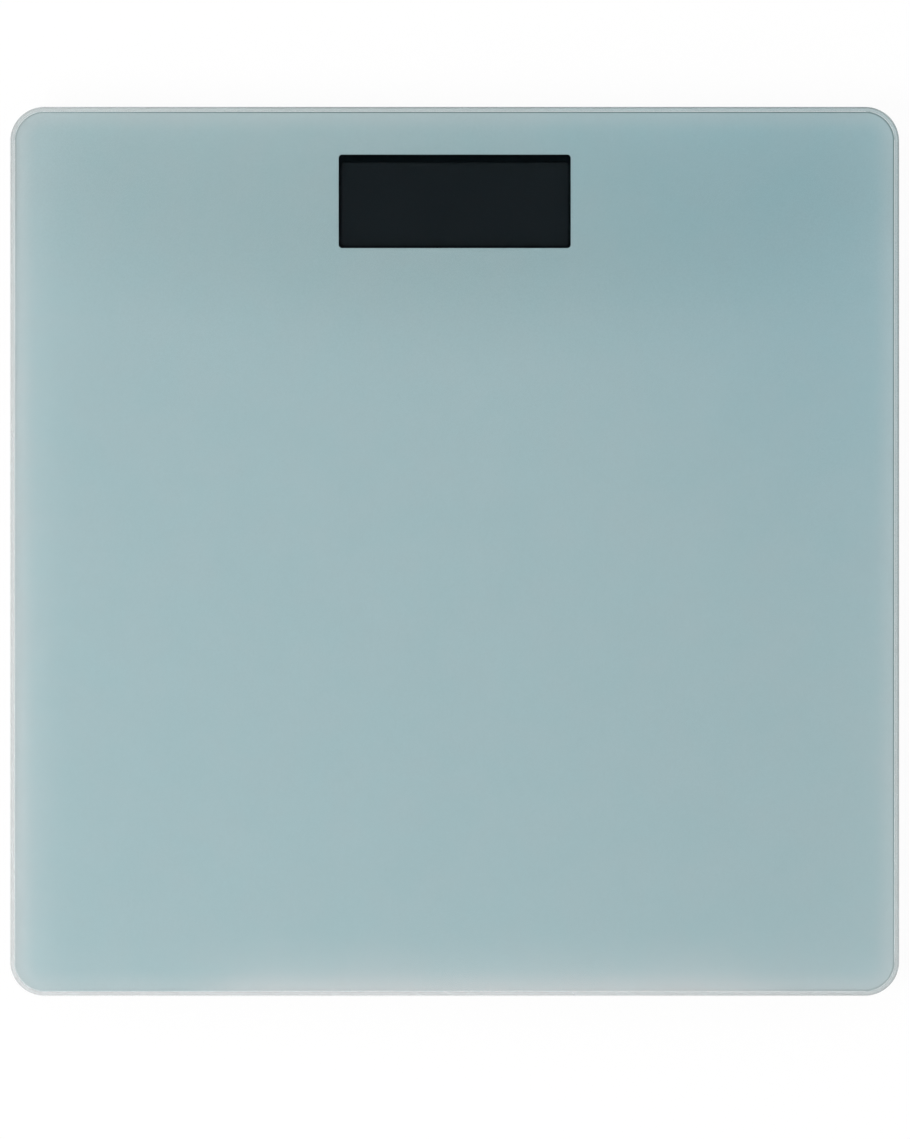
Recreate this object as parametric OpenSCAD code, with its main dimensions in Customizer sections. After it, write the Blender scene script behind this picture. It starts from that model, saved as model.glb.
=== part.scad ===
// Glass-platform digital scale: a tempered plate bonded to a shallow tray,
// carried on four sensing feet. Millimetres, +Z up, origin on the floor under
// the middle of the plate, +Y towards the display edge.

/* [Glass platform] */
// Width of the glass, left to right
platform_w = 300; // [280:1:330]
// Length of the glass, from the heel edge to the display edge
platform_l = 300; // [285:1:330]
// Thickness of the glass
glass_t = 6; // [4:0.5:8]
// Radius of the glass corners, seen from above
corner_r = 11.5; // [8:0.5:20]
// Width of the ground bevel along both faces of the glass edge
arris = 1.4; // [0.6:0.1:1.8]
// Thickness of the colour print under the glass
backing_t = 0.2; // [0.1:0.05:0.4]
// Clear margin between the print and the bevel
print_margin = 0.1; // [0.1:0.1:1]

/* [Display window] */
// Width of the clear window in the print
window_w = 78.4; // [70:0.2:84]
// Length of the clear window in the print
window_l = 31.6; // [28:0.2:34]
// Corner radius of the window
window_r = 1.2; // [0.5:0.1:3]
// Distance from the display edge of the glass to the window
window_edge = 16; // [16:0.5:24]
// Band of the holder that shows at the far side of the window
view_band = 2.7; // [1:0.1:4]
// Band of the holder that shows at the other three sides
view_lip = 0.8; // [0.4:0.1:1.5]

/* [Base tray] */
// How far the glass overhangs the tray
tray_inset = 5; // [4:0.5:7]
// Height of the tray
tray_h = 13; // [13:0.5:15]
// Thickness of the tray's walls, measured level
tray_wall = 2.2; // [1.8:0.1:2.8]
// Thickness of the tray's floor
tray_floor = 2; // [1.6:0.1:2.4]
// Corner radius of the tray at its rim
tray_r = 16; // [14:0.5:22]
// How far the slanting side runs in under the rim
flank_in = 8; // [6:0.5:9]
// Height of the upright band under the rim
band_h = 4; // [3:0.5:5]
// Edge break round the bottom face
edge_break = 0.8; // [0.4:0.1:1.2]
// Width of the land that the tape is stuck to
land_w = 5; // [4:0.1:6]
// Thickness of the land
land_t = 2; // [1.5:0.1:2.5]
// Height of the tray's bottom face above the floor
ground_gap = 5; // [4.5:0.1:6]
// Thickness of the foam bonding tape
tape_t = 0.8; // [0.5:0.1:1.2]
// Thickness of the stiffening ribs
rib_t = 1.6; // [1.2:0.1:2.2]
// Distance from the board's sides to the long ribs
rib_gap = 8; // [6:0.5:10]
// Distance from the middle to the heel-side cross rib
heel_rib = 50; // [40:1:60]
// Width of the bare label recess under the tray
label_w = 74; // [50:1:90]
// Length of the bare label recess
label_l = 40; // [25:1:50]
// Depth of the label recess
label_depth = 0.4; // [0.2:0.1:0.6]

/* [Feet and sensors] */
// Distance from the glass edges to each foot's axis
foot_in = 40; // [38:0.5:44]
// Diameter of the foot where it comes through the tray
foot_d = 42; // [38:0.5:44]
// Travel of the foot as its sensor bends
foot_travel = 0.5; // [0.3:0.1:0.7]
// Width of the flange that keeps the foot in
flange_w = 2.2; // [1.6:0.1:2.6]
// Thickness of the flange
flange_t = 1.2; // [1:0.1:1.4]
// Diameter of the boss that presses on the sensor
press_d = 8; // [6:0.5:10]
// Thickness of the foot's bottom skin
foot_skin = 2; // [1.6:0.1:2.4]
// Diameter of the rubber pad
pad_d = 34; // [28:0.5:36]
// Thickness of the rubber pad
pad_t = 2.4; // [2:0.1:3]
// How deep the pad sits in the foot
pad_seat = 0.8; // [0.5:0.1:1.2]
// Side of the square sensor plate
sensor_w = 34; // [32:0.5:36]
// Thickness of the sensor plate
sensor_t = 2.5; // [2:0.1:2.8]
// Width of the slot round the sensor's tongue
slot_w = 2.4; // [1.8:0.1:2.8]
// Width of the sensor's tongue
tongue_w = 12; // [10:0.5:13]
// Wall of the bracket round the sensor plate
bracket_wall = 4.8; // [4:0.1:5.5]

/* [Display and board] */
// Thickness of the display panel
lcd_t = 2.8; // [2.4:0.1:3]
// Thickness of the light guide under the panel
guide_t = 1.5; // [1.2:0.1:1.7]
// Width of the holder's border outside the window
holder_lip = 4.4; // [4:0.1:4.8]
// Wall of the display holder
holder_wall = 1.5; // [1.2:0.1:1.8]
// Thickness of the holder's top plate
holder_top_t = 0.7; // [0.5:0.1:1]
// Thickness of the foam gasket between the holder and the glass
gasket_t = 0.6; // [0.4:0.1:0.8]
// Width of the circuit board
board_w = 108; // [107:0.5:112]
// Length of the circuit board
board_l = 50; // [49:0.5:52]
// Thickness of the circuit board
board_t = 1.6; // [1.2:0.1:1.8]
// How far the board reaches past the holder on the display side
board_lip = 1.2; // [1:0.1:1.6]
// Distance from the board's side edges to its screws
board_screw_in = 4; // [3.5:0.1:4.5]
// Distance from the board's display-side edge to its screws
board_screw_far = 9; // [8.5:0.5:12]

/* [Unit button] */
// Diameter of the button
button_d = 9.2; // [8:0.2:11]
// Travel of the button
button_travel = 0.5; // [0.3:0.1:0.6]
// How far the button's face sits back in its dish
button_sunk = 0.2; // [0:0.1:0.4]
// Diameter of the dish round the button
dish_d = 17; // [15:0.5:20]
// Depth of the dish
dish_depth = 0.7; // [0.4:0.1:0.9]
// Distance from the board's right edge to the button's axis
button_side = 18; // [16:0.5:24]
// Distance from the board's battery-side edge to the button's axis
button_in = 14; // [12:0.5:16]
// Side of the square switch body
switch_w = 6; // [5:0.5:6.5]
// Height of the switch body
switch_h = 2.5; // [2:0.1:2.6]
// Diameter of the switch's plunger
plunger_d = 3.4; // [2.8:0.1:3.8]

/* [Battery bay] */
// Diameter of an AAA cell
cell_d = 10.4; // [10:0.1:10.5]
// Length of an AAA cell with its nub
cell_len = 44.5; // [43.5:0.1:45]
// Gap between neighbouring cells
cell_gap = 0.5; // [0.3:0.1:1]
// Length of a contact spring as fitted
spring_len = 5; // [4:0.1:6]
// Diameter of the spring's wire
spring_wire = 0.7; // [0.5:0.05:0.9]
// Wall of the bay
bay_wall = 1.6; // [1.2:0.1:2]
// Thickness of the bay's roof
roof_t = 0.8; // [0.6:0.1:0.9]
// Gap between the bay's outer wall and the circuit board
bay_gap = 7; // [6:0.5:9]
// Thickness of the battery door
door_t = 1.6; // [1.4:0.1:1.8]
// Width of the ledge that the door closes on
ledge_w = 3; // [2.5:0.1:3.5]
// Radius of the door's hinge barrel
barrel_r = 1.5; // [1.4:0.1:1.6]
// Radius of the hinge pins
pin_r = 0.75; // [0.6:0.05:0.8]
// Length of each hinge pin
pin_len = 1.8; // [1.4:0.1:2.4]
// Width of the spring latch
latch_w = 20; // [18:0.5:24]
// Thickness of the latch's legs
latch_t = 1.1; // [0.9:0.1:1.3]
// Width of the finger pocket beside the latch
pocket_w = 13; // [10:0.5:13]
// Length of the finger pocket
pocket_l = 9; // [8:0.5:12]
// Depth of the finger pocket
pocket_h = 5.4; // [5:0.1:6]

/* [Clearances and fasteners] */
// Gap round a piece that slides or swings
run_gap = 0.4; // [0.3:0.05:0.5]
// Gap at a seat, a glued face or a snap
seat_gap = 0.1; // [0.05:0.01:0.15]
// Radial clearance of a turning pin in its hole
pin_gap = 0.08; // [0.05:0.01:0.1]
// Diameter of a screw's shank
screw_d = 2.2; // [2:0.1:2.6]
// Diameter of a screw's head
head_d = 4.6; // [4:0.1:5]
// Height of a screw's head
head_h = 1.6; // [1.3:0.1:1.8]
// Diameter of a screw boss
boss_d = 6; // [5.4:0.1:6.4]
// Diameter of a wire over its sleeve
wire_d = 1; // [0.8:0.05:1.1]
// Distance between neighbouring wires
wire_pitch = 1.4; // [1.25:0.05:1.6]

/* [Hidden] */
$fn = 64;

// Overrun of a cut past the face it opens.
cut = 1;

// Levels, from the floor up.
tray_z = ground_gap;
floor_z = tray_z + tray_floor;
rim_z = tray_z + tray_h;
band_z = rim_z - band_h;
print_z = rim_z + tape_t;
glass_z = print_z + backing_t;

// Plan of the tray.
tray_w = platform_w - 2 * tray_inset;
tray_l = platform_l - 2 * tray_inset;

// Plan of the window, the holder and the board.
window_y = platform_l / 2 - window_edge - window_l / 2;
view_w = window_w - 2 * view_lip;
view_l = window_l - view_lip - view_band;
view_y = window_y - (view_band - view_lip) / 2;
holder_w = window_w + 2 * holder_lip;
holder_l = window_l + 2 * holder_lip;
holder_top_z = print_z - gasket_t;
lcd_top_z = holder_top_z - holder_top_t;
lcd_z = lcd_top_z - lcd_t;
board_top_z = lcd_z - guide_t - seat_gap;
board_z = board_top_z - board_t;
board_y = window_y + holder_l / 2 + board_lip - board_l / 2;
rib_x = board_w / 2 + rib_gap;
board_screws_at = [for (sx = [-1, 1], y = [board_screw_in, board_l - board_screw_far])
    [sx * (board_w / 2 - board_screw_in), board_y - board_l / 2 + y]];

// Plan of the battery bay.
cell_count = 3;
plate_t = 0.4;
cell_pitch = cell_d + cell_gap;
bay_in_w = cell_len + spring_len + 2 * plate_t + 2 * seat_gap;
bay_in_l = cell_count * cell_pitch + cell_gap;
bay_y = board_y - board_l / 2 - bay_gap - bay_in_l / 2 - bay_wall;
door_w = bay_in_w + 2 * ledge_w;
door_l = bay_in_l + 2 * ledge_w;
door_top_z = tray_z + door_t;
ledge_z = door_top_z + seat_gap;
ledge_t = 1.5;
ledge_out = 2;
cell_rest_gap = 0.3;
cell_z = door_top_z + cell_rest_gap + cell_d / 2;
roof_z = cell_z + cell_d / 2 + 2 * seat_gap;
hinge_y = bay_y + door_l / 2 - barrel_r;
hinge_z = tray_z + barrel_r;
hinge_w = door_w - 2 * (pin_len + run_gap);
door_wide_end = hinge_y - barrel_r - 2 * run_gap - 0.3;

// The spring latch: a leg on the door, a bow, and a leg that faces the finger
// pocket and carries two barbs.
latch_y = bay_y - door_l / 2;
latch_bow = 2;
latch_top_z = floor_z + 4;
latch_out_y = latch_y - latch_bow - latch_t;
barb_w = 2.6;
barb_out = run_gap + 0.4;
barb_h = 1.2;
latch_room_y = latch_out_y - barb_out - run_gap;
latch_room_end = latch_y + latch_t + run_gap;
pocket_y = latch_out_y - pocket_l / 2;
pocket_wall = 1.4;
bay_rib_y = pocket_y - pocket_l / 2 - pocket_wall - 2;

// The unit button sits under the board, clear of the holder's pegs.
button_x = board_w / 2 - button_side;
button_y = board_y - board_l / 2 + button_in;
button_z = tray_z + button_sunk;
button_flange_w = 1.6;
button_flange_t = 0.6;
switch_z = board_z - switch_h;
plunger_tip = 0.7;
plunger_z = switch_z - plunger_tip;
plunger_in = 1.3;

// Levels of a foot and of its sensor.
foot_x = platform_w / 2 - foot_in;
foot_y = platform_l / 2 - foot_in;
foot_z = pad_t - pad_seat;
flange_z = floor_z + seat_gap;
flange_top_z = flange_z + flange_t;
flange_r = foot_d / 2 + flange_w;
hook_t = 1.2;
hook_z = flange_top_z + foot_travel + 3 * seat_gap;
sensor_z = hook_z + hook_t;
sensor_top_z = sensor_z + sensor_t;
bracket_w = sensor_w + 2 * bracket_wall;
bracket_top_z = print_z - seat_gap;
gauge_h = 1;
gauge_w = 8;
gauge_l = 5;
gauge_x = -6;
flex_room = 2.4;
collar_t = 2;
collar_r = flange_r + run_gap;
ear_in = 0.6;
ear_x = bracket_w / 2 - ear_in;
ear_d = boss_d + 2.4;
ear_t = 2.5;
tongue_end = 7;
frame_w = 4;

// Wires: the level along the floor and the lanes they run in. The heel wires
// run beside the long ribs and reach the board beside the toe wires.
bend_r = 1.3;
lane_gap = 8;
lanes_apart = 7;
wire_floor_z = floor_z + wire_d / 2 + seat_gap;
wire_gauge_z = sensor_top_z + gauge_h / 2 + 0.1;
wire_drop = collar_r + collar_t + 2 * wire_d;
wire_in = 1.5;
heel_lane_x = rib_x + lane_gap;
heel_pad_y = foot_y - lanes_apart;
wire_pad_z = board_top_z + wire_d / 2;
board_lane_x = board_w / 2 + 1.6 * wire_d;
pad_end = 4;
notch_h = 2.2;
notch_side = 1.6;

// The four corners: [name, side, end].
CORNERS = [
    ["toe_left", -1, 1], ["toe_right", 1, 1],
    ["heel_left", -1, -1], ["heel_right", 1, -1]
];

function flank_at(z) =
    z >= band_z ? 0 : flank_in * (band_z - z) / (band_z - tray_z - edge_break);
function unit(v) = v / norm(v);
function across(v) = abs(v[2]) > 0.9 ? [1, 0, 0] : unit(cross(v, [0, 0, 1]));
function placed(x, y, z, at) =
    [[x[0], y[0], z[0], at[0]], [x[1], y[1], z[1], at[1]], [x[2], y[2], z[2], at[2]], [0, 0, 0, 1]];

// ---- shapes that repeat -------------------------------------------------

// A plate with rounded corners whose side follows an outline of
// [inset from the edge, height] points, listed from the bottom up.
module edged_plate(w, l, r, outline) {
    last = len(outline) - 1;
    quarter = concat([[0, outline[0][1]]], [for (p = outline) [r - p[0], p[1]]], [[0, outline[last][1]]]);
    middle = concat(
        [for (p = outline) [w / 2 - p[0], p[1]]],
        [for (i = [last:-1:0]) [outline[i][0] - w / 2, outline[i][1]]]);
    rotate([90, 0, 0]) linear_extrude(l - 2 * r, center = true) polygon(middle);
    for (end = [0, 180])
        rotate(end) translate([0, l / 2 - r, 0])
            rotate([90, 0, 90]) linear_extrude(w - 2 * r, center = true) polygon(quarter);
    for (k = [0:3])
        translate([(k == 0 || k == 3 ? 1 : -1) * (w / 2 - r), (k < 2 ? 1 : -1) * (l / 2 - r), 0])
            rotate(90 * k) rotate_extrude(angle = 90) polygon(quarter);
}

// A flat plate with rounded corners and upright sides.
module round_plate(w, l, r, z, t) {
    edged_plate(w, l, r, [[0, z], [0, z + t]]);
}

module at_corner(c) {
    translate([c[1] * foot_x, c[2] * foot_y, 0]) children();
}

// A box given by its middle, its size in plan and its two levels.
module block(x, y, w, l, z0, z1) {
    translate([x - w / 2, y - l / 2, z0]) cube([w, l, z1 - z0]);
}

// A box centred left to right, given by where it starts and ends in Y.
module span(w, y0, y1, z0, z1) {
    block(0, (y0 + y1) / 2, w, y1 - y0, z0, z1);
}

module drum(d, z0, z1) {
    translate([0, 0, z0]) cylinder(d = d, h = z1 - z0);
}

module rod(from, to, d) {
    along = unit(to - from);
    side = across(along);
    multmatrix(placed(side, cross(along, side), along, from)) cylinder(d = d, h = norm(to - from));
}

module elbow(before, corner, after, d) {
    a = unit(corner - before);
    b = unit(after - corner);
    turn = acos(a * b);
    inward = unit(b - a * (a * b));
    start = corner - a * bend_r * tan(turn / 2);
    multmatrix(placed(-inward, a, cross(-inward, a), start + inward * bend_r))
        rotate_extrude(angle = turn) translate([bend_r, 0]) circle(d = d);
}

// One wire along a route of square turns, each turn a smooth elbow.
module wire(route) {
    last = len(route) - 1;
    for (i = [0:last - 1]) {
        along = unit(route[i + 1] - route[i]);
        rod(route[i] + (i == 0 ? 0 : bend_r) * along,
            route[i + 1] - (i == last - 1 ? 0 : bend_r) * along, wire_d);
    }
    for (i = [1:1:last - 1])
        elbow(route[i - 1], route[i], route[i + 1], wire_d);
}

// A pan-head screw, head up, its head seated at level z.
module screw(z, len) {
    difference() {
        union() {
            drum(head_d, z, z + head_h);
            drum(screw_d, z - len, z);
        }
        for (turn = [0, 90])
            rotate(turn) block(0, 0, 2.8, 0.7, z + head_h - 0.8, z + head_h + cut);
    }
}

// ---- glass, print and tape ----------------------------------------------

module glass_platform() {
    color([0.78, 0.9, 0.88, 0.45])
        edged_plate(platform_w, platform_l, corner_r, [
            [arris, glass_z], [0, glass_z + arris],
            [0, glass_z + glass_t - arris], [arris, glass_z + glass_t]]);
}

module colour_backing() {
    inset = arris + print_margin;
    color([0.61, 0.72, 0.73])
        difference() {
            round_plate(platform_w - 2 * inset, platform_l - 2 * inset, corner_r - inset, print_z, backing_t);
            translate([0, window_y, 0])
                round_plate(window_w, window_l, window_r, print_z - cut, backing_t + 2 * cut);
        }
}

module bonding_tape() {
    margin = 0.3;
    color([0.2, 0.2, 0.21])
        difference() {
            round_plate(tray_w - 2 * margin, tray_l - 2 * margin, tray_r - margin, rim_z, tape_t);
            round_plate(tray_w - 2 * (land_w - margin), tray_l - 2 * (land_w - margin),
                        tray_r - land_w + margin, rim_z - cut, tape_t + 2 * cut);
        }
}

// ---- base tray ----------------------------------------------------------

module base_tray() {
    color([0.86, 0.87, 0.86])
        difference() {
            union() {
                tray_shell();
                within_walls() {
                    tray_ribs();
                    foot_mounts();
                    for (p = board_screws_at)
                        translate(p) drum(boss_d, floor_z - cut / 2, board_z);
                }
                bay_walls();
                pocket_walls();
                translate([button_x, button_y, 0])
                    drum(button_d + 2 * (button_flange_w + run_gap) + 2.4, floor_z - cut / 2, floor_z + 1);
            }
            foot_holes();
            screw_holes();
            bay_cuts();
            latch_cuts();
            button_cuts();
            wire_notches();
            translate([0, -heel_rib - label_l / 2 - 6, 0])
                round_plate(label_w, label_l, 2, tray_z - cut, cut + label_depth);
        }
}

module tray_shell() {
    difference() {
        edged_plate(tray_w, tray_l, tray_r, [
            [flank_in + edge_break, tray_z], [flank_in, tray_z + edge_break], [0, band_z], [0, rim_z]]);
        edged_plate(tray_w, tray_l, tray_r, [
            [tray_wall + flank_at(floor_z), floor_z], [tray_wall, band_z], [tray_wall, rim_z - land_t]]);
        round_plate(tray_w - 2 * land_w, tray_l - 2 * land_w, tray_r - land_w, rim_z - land_t - cut / 2, land_t + cut);
    }
}

// Ends what stands in the tray inside the thickness of its side walls.
module within_walls() {
    mid_wall = tray_wall / 2;
    intersection() {
        edged_plate(tray_w, tray_l, tray_r, [
            [mid_wall + flank_at(floor_z - cut / 2), floor_z - cut / 2],
            [mid_wall, band_z], [mid_wall, rim_z - land_t / 2]]);
        union() children();
    }
}

module tray_ribs() {
    for (side = [-1, 1])
        block(side * rib_x, 0, rib_t, tray_l, floor_z - cut, rim_z);
    for (y = [bay_rib_y, -heel_rib])
        block(0, y, tray_w, rib_t, floor_z - cut, rim_z);
    block(0, -foot_y, 2 * rib_x, rib_t, floor_z - cut, rim_z);
}

// A collar round each foot and two bosses for its bracket.
module foot_mounts() {
    for (c = CORNERS)
        at_corner(c) {
            drum(2 * (collar_r + collar_t), floor_z - cut / 2, flange_top_z + foot_travel + seat_gap);
            for (ear = [-1, 1])
                translate([ear * c[1] * ear_x, -ear * c[2] * ear_x, 0])
                    drum(boss_d, floor_z - cut / 2, sensor_top_z);
        }
}

module foot_holes() {
    for (c = CORNERS)
        at_corner(c) {
            drum(foot_d + 2 * run_gap, tray_z - cut, floor_z + cut / 2);
            drum(2 * collar_r, floor_z, rim_z);
        }
}

module screw_holes() {
    for (c = CORNERS, ear = [-1, 1])
        at_corner(c) translate([ear * c[1] * ear_x, -ear * c[2] * ear_x, 0])
            drum(screw_d + 2 * seat_gap, floor_z + cut / 2, sensor_top_z + cut);
    for (p = board_screws_at)
        translate(p) drum(screw_d + 2 * seat_gap, floor_z + 1, board_z + cut);
}

// The bay's box, the ledge that the door closes on and the hinge's cover.
module bay_walls() {
    block(0, bay_y, bay_in_w + 2 * bay_wall, bay_in_l + 2 * bay_wall, floor_z - cut / 2, roof_z + roof_t);
    block(0, bay_y, door_w + 2 * ledge_out, door_l + 2 * ledge_out, floor_z - cut / 2, ledge_z + ledge_t);
    block(0, hinge_y, door_w + 2 * ledge_out, 2 * (barrel_r + run_gap + 1),
          floor_z - cut / 2, hinge_z + barrel_r + run_gap + 1);
}

module bay_cuts() {
    recess_end = hinge_y + barrel_r + run_gap;
    // room for the cells
    block(0, bay_y, bay_in_w, bay_in_l, tray_z - cut, roof_z);
    // the door's own recess, narrower where the hinge sits
    span(door_w + 2 * run_gap, latch_y - run_gap, hinge_y - barrel_r, tray_z - cut, ledge_z);
    span(hinge_w + 2 * run_gap, latch_y, recess_end, tray_z - cut, hinge_z);
    // the hinge barrel and its two pins
    translate([0, hinge_y, hinge_z]) rotate([0, 90, 0]) {
        cylinder(r = barrel_r + run_gap, h = hinge_w + 2 * run_gap, center = true);
        cylinder(r = pin_r + pin_gap, h = hinge_w + 2 * (pin_len + run_gap), center = true);
    }
    // a way out through each end wall for the solder tails
    for (side = [-1, 1])
        block(side * (bay_in_w / 2 + bay_wall / 2), bay_y + side * (cell_count - 1) / 2 * cell_pitch,
              bay_wall + cut, tail_w + 2 * seat_gap, tail_z - seat_gap, tail_z + tail_h + seat_gap);
}

// Walls round the finger pocket and round the latch's room.
module pocket_walls() {
    span(pocket_w + 2 * pocket_wall, pocket_y - pocket_l / 2 - pocket_wall, latch_room_y,
         floor_z - cut / 2, tray_z + pocket_h + pocket_wall);
    span(latch_w + 2 * (run_gap + pocket_wall), latch_room_y - pocket_wall, latch_room_end,
         floor_z - cut / 2, latch_top_z + run_gap + pocket_wall);
}

module latch_cuts() {
    span(pocket_w, pocket_y - pocket_l / 2, latch_out_y, tray_z - cut, tray_z + pocket_h);
    span(latch_w + 2 * run_gap, latch_out_y - run_gap, latch_room_end, tray_z - cut, latch_top_z + run_gap);
    span(latch_w + 2 * run_gap, latch_room_y, latch_out_y, floor_z, latch_top_z + run_gap);
}

module button_cuts() {
    translate([button_x, button_y, 0]) {
        drum(button_d + 2 * run_gap, tray_z - cut, floor_z + cut);
        drum(button_d + 2 * (button_flange_w + run_gap), floor_z, rim_z);
        drum(dish_d, tray_z - cut, tray_z + dish_depth);
    }
}

module wire_notches() {
    lanes = 3 * wire_pitch + notch_side;
    for (side = [-1, 1]) {
        // where the wires pass the long ribs on their way to the board
        block(side * rib_x, foot_y, rib_t + cut, lanes, floor_z, floor_z + notch_h);
        block(side * rib_x, heel_pad_y, rib_t + cut, lanes, floor_z, floor_z + notch_h);
        // where the heel wires pass the cross ribs
        for (y = [bay_rib_y, -heel_rib])
            block(side * heel_lane_x, y, lanes, rib_t + cut, floor_z, floor_z + notch_h);
    }
}

// ---- battery door and cells ---------------------------------------------

module battery_door() {
    color([0.84, 0.85, 0.84]) {
        span(door_w, latch_y, door_wide_end, tray_z, door_top_z);
        span(hinge_w, door_wide_end, hinge_y, tray_z, door_top_z);
        translate([0, hinge_y, hinge_z]) rotate([0, 90, 0]) {
            cylinder(r = barrel_r, h = hinge_w, center = true);
            cylinder(r = pin_r, h = hinge_w + 2 * pin_len, center = true);
        }
    }
}

module door_latch() {
    color([0.84, 0.85, 0.84]) {
        span(latch_w, latch_y, latch_y + latch_t, door_top_z, latch_top_z);
        span(latch_w, latch_out_y, latch_y + latch_t, latch_top_z - latch_t, latch_top_z);
        span(latch_w, latch_out_y, latch_out_y + latch_t, tray_z, latch_top_z);
        for (side = [-1, 1])
            block(side * (latch_w - barb_w) / 2, latch_out_y - barb_out / 2 + latch_t / 4, barb_w,
                  barb_out + latch_t / 2, floor_z + seat_gap, floor_z + seat_gap + barb_h);
    }
}

// An AAA cell lying along X, its nub towards +X.
module cell(i) {
    turned = i % 2 == 0 ? 1 : -1;
    nub_d = 3.8;
    nub_h = 1;
    rim = 0.5;
    translate([turned * spring_len / 2, bay_y + ((cell_count - 1) / 2 - i) * cell_pitch, cell_z])
        rotate([0, turned * 90, 0]) translate([0, 0, -cell_len / 2])
            rotate_extrude() polygon([
                [0, 0], [cell_d / 2 - rim, 0], [cell_d / 2, rim],
                [cell_d / 2, cell_len - nub_h - rim], [cell_d / 2 - rim, cell_len - nub_h],
                [nub_d / 2, cell_len - nub_h], [nub_d / 2, cell_len], [0, cell_len]]);
}

// Flat contacts at the bay's ends: pairs of cells share a plate, and the two
// end plates carry a solder tail out through the wall.
plate_w = 8;
plate_z = cell_z - 4;
plate_h = 8;
tail_w = 3;
tail_h = 0.5;
tail_z = cell_z + 2.2;
tail_out = 3;
module contact_plates() {
    top = (cell_count - 1) / 2;
    color([0.8, 0.8, 0.78])
        for (side = [-1, 1])
            for (i = [0:cell_count - 1]) {
                x = side * (bay_in_w / 2 - plate_t / 2);
                y = bay_y + (top - i) * cell_pitch;
                terminal = side > 0 ? i == 0 : i == cell_count - 1;
                pair = side > 0 ? (i % 2 == 1 && i + 1 < cell_count) : (i % 2 == 0 && i + 1 < cell_count);
                if (terminal)
                    union() {
                        block(x, y, plate_t, plate_w, plate_z, plate_z + plate_h);
                        block(x + side * (bay_wall + tail_out) / 2, y, plate_t + bay_wall + tail_out, tail_w,
                              tail_z, tail_z + tail_h);
                    }
                if (pair)
                    block(x, y - cell_pitch / 2, plate_t, plate_w + cell_pitch, plate_z, plate_z + plate_h);
            }
}

// Points of a tapering coil along +X, swept with a small round section.
module coil(len, r_base, r_tip, turns, d) {
    per_turn = 14;
    sides = 6;
    steps = per_turn * turns;
    span = len - d;
    rings = [for (k = [0:steps])
        let (f = k / steps, a = 360 * turns * f, r = r_base + (r_tip - r_base) * f,
             out = [0, cos(a), sin(a)],
             along = unit([span / (2 * PI * turns * r), -sin(a), cos(a)]),
             up = cross(along, out))
        [for (s = [0:sides - 1]) let (b = 360 * s / sides)
            [d / 2 + span * f, 0, 0] + r * out + d / 2 * (cos(b) * out + sin(b) * up)]];
    points = [for (ring = rings) for (p = ring) p];
    faces = concat(
        [[for (s = [0:sides - 1]) s]],
        [for (k = [0:steps - 1], s = [0:sides - 1])
            let (n = (s + 1) % sides)
            [k * sides + s, (k + 1) * sides + s, (k + 1) * sides + n, k * sides + n]],
        [[for (s = [sides - 1:-1:0]) steps * sides + s]]);
    polyhedron(points, faces);
}

module battery_springs() {
    color([0.82, 0.82, 0.8])
        for (i = [0:cell_count - 1]) {
            turned = i % 2 == 0 ? 1 : -1;
            translate([-turned * (bay_in_w / 2 - plate_t - seat_gap / 2),
                       bay_y + ((cell_count - 1) / 2 - i) * cell_pitch, cell_z])
                rotate(turned > 0 ? 0 : 180)
                    coil(spring_len, 3.4, 2, 4, spring_wire);
        }
}

module battery_wires() {
    tail_x = bay_in_w / 2 + bay_wall + tail_out - 1;
    z = tail_z + tail_h + wire_d / 2;
    board_edge = board_y - board_l / 2;
    for (side = [-1, 1])
        color(side > 0 ? [0.7, 0.08, 0.07] : [0.06, 0.06, 0.06])
            wire([
                [side * tail_x, bay_y + side * (cell_count - 1) / 2 * cell_pitch - 1, z],
                [side * tail_x, board_edge + 2.5, z],
                [side * tail_x, board_edge + 2.5, board_top_z]]);
}

// ---- display, board and button ------------------------------------------

module lcd_gasket() {
    color([0.12, 0.12, 0.12])
        translate([0, window_y, 0]) difference() {
            round_plate(holder_w, holder_l, window_r + 1, holder_top_z, gasket_t);
            round_plate(window_w + 1, window_l + 1, window_r + 0.5, holder_top_z - cut, gasket_t + 2 * cut);
        }
}

peg_in = 6;
peg_d = 2;
peg_head_d = 3.2;
peg_head_h = 0.6;
pegs_at = [for (sx = [-1, 1], sy = [-1, 1])
    [sx * (holder_w / 2 - peg_in), window_y + sy * (holder_l / 2 - peg_d / 2)]];
module lcd_holder() {
    color([0.05, 0.05, 0.055]) {
        difference() {
            translate([0, window_y, 0])
                round_plate(holder_w, holder_l, window_r + 1, board_top_z, holder_top_z - board_top_z);
            block(0, window_y, holder_w - 2 * holder_wall, holder_l - 2 * holder_wall, board_top_z - cut, lcd_top_z);
            translate([0, view_y, 0])
                round_plate(view_w, view_l, window_r, lcd_top_z - cut, holder_top_t + 2 * cut);
        }
        for (p = pegs_at)
            translate(p) {
                drum(peg_d, board_z - seat_gap, board_top_z);
                drum(peg_head_d, board_z - seat_gap - peg_head_h, board_z - seat_gap);
            }
    }
}

// Two sheets of glass; the upper one is longer, for the contact ledges.
ledge_strip = 2.2;
panel_w = holder_w - 2 * holder_wall - 2 * seat_gap;
panel_l = holder_l - 2 * holder_wall - 2 * seat_gap;
module lcd_panel() {
    color([0.09, 0.11, 0.12]) {
        block(0, window_y, panel_w, panel_l - 2 * ledge_strip, lcd_z, lcd_z + lcd_t / 2);
        block(0, window_y, panel_w, panel_l, lcd_z + lcd_t / 2, lcd_top_z);
    }
}

led_w = 1.4;
led_l = 3;
led_pitch = 9;
guide_end = 2;
guide_w = panel_w - 2 * (led_w + guide_end);
module light_guide() {
    color([0.92, 0.94, 0.95])
        block(0, window_y, guide_w, panel_l - 2 * ledge_strip - 1, board_top_z + seat_gap, lcd_z);
}

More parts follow.
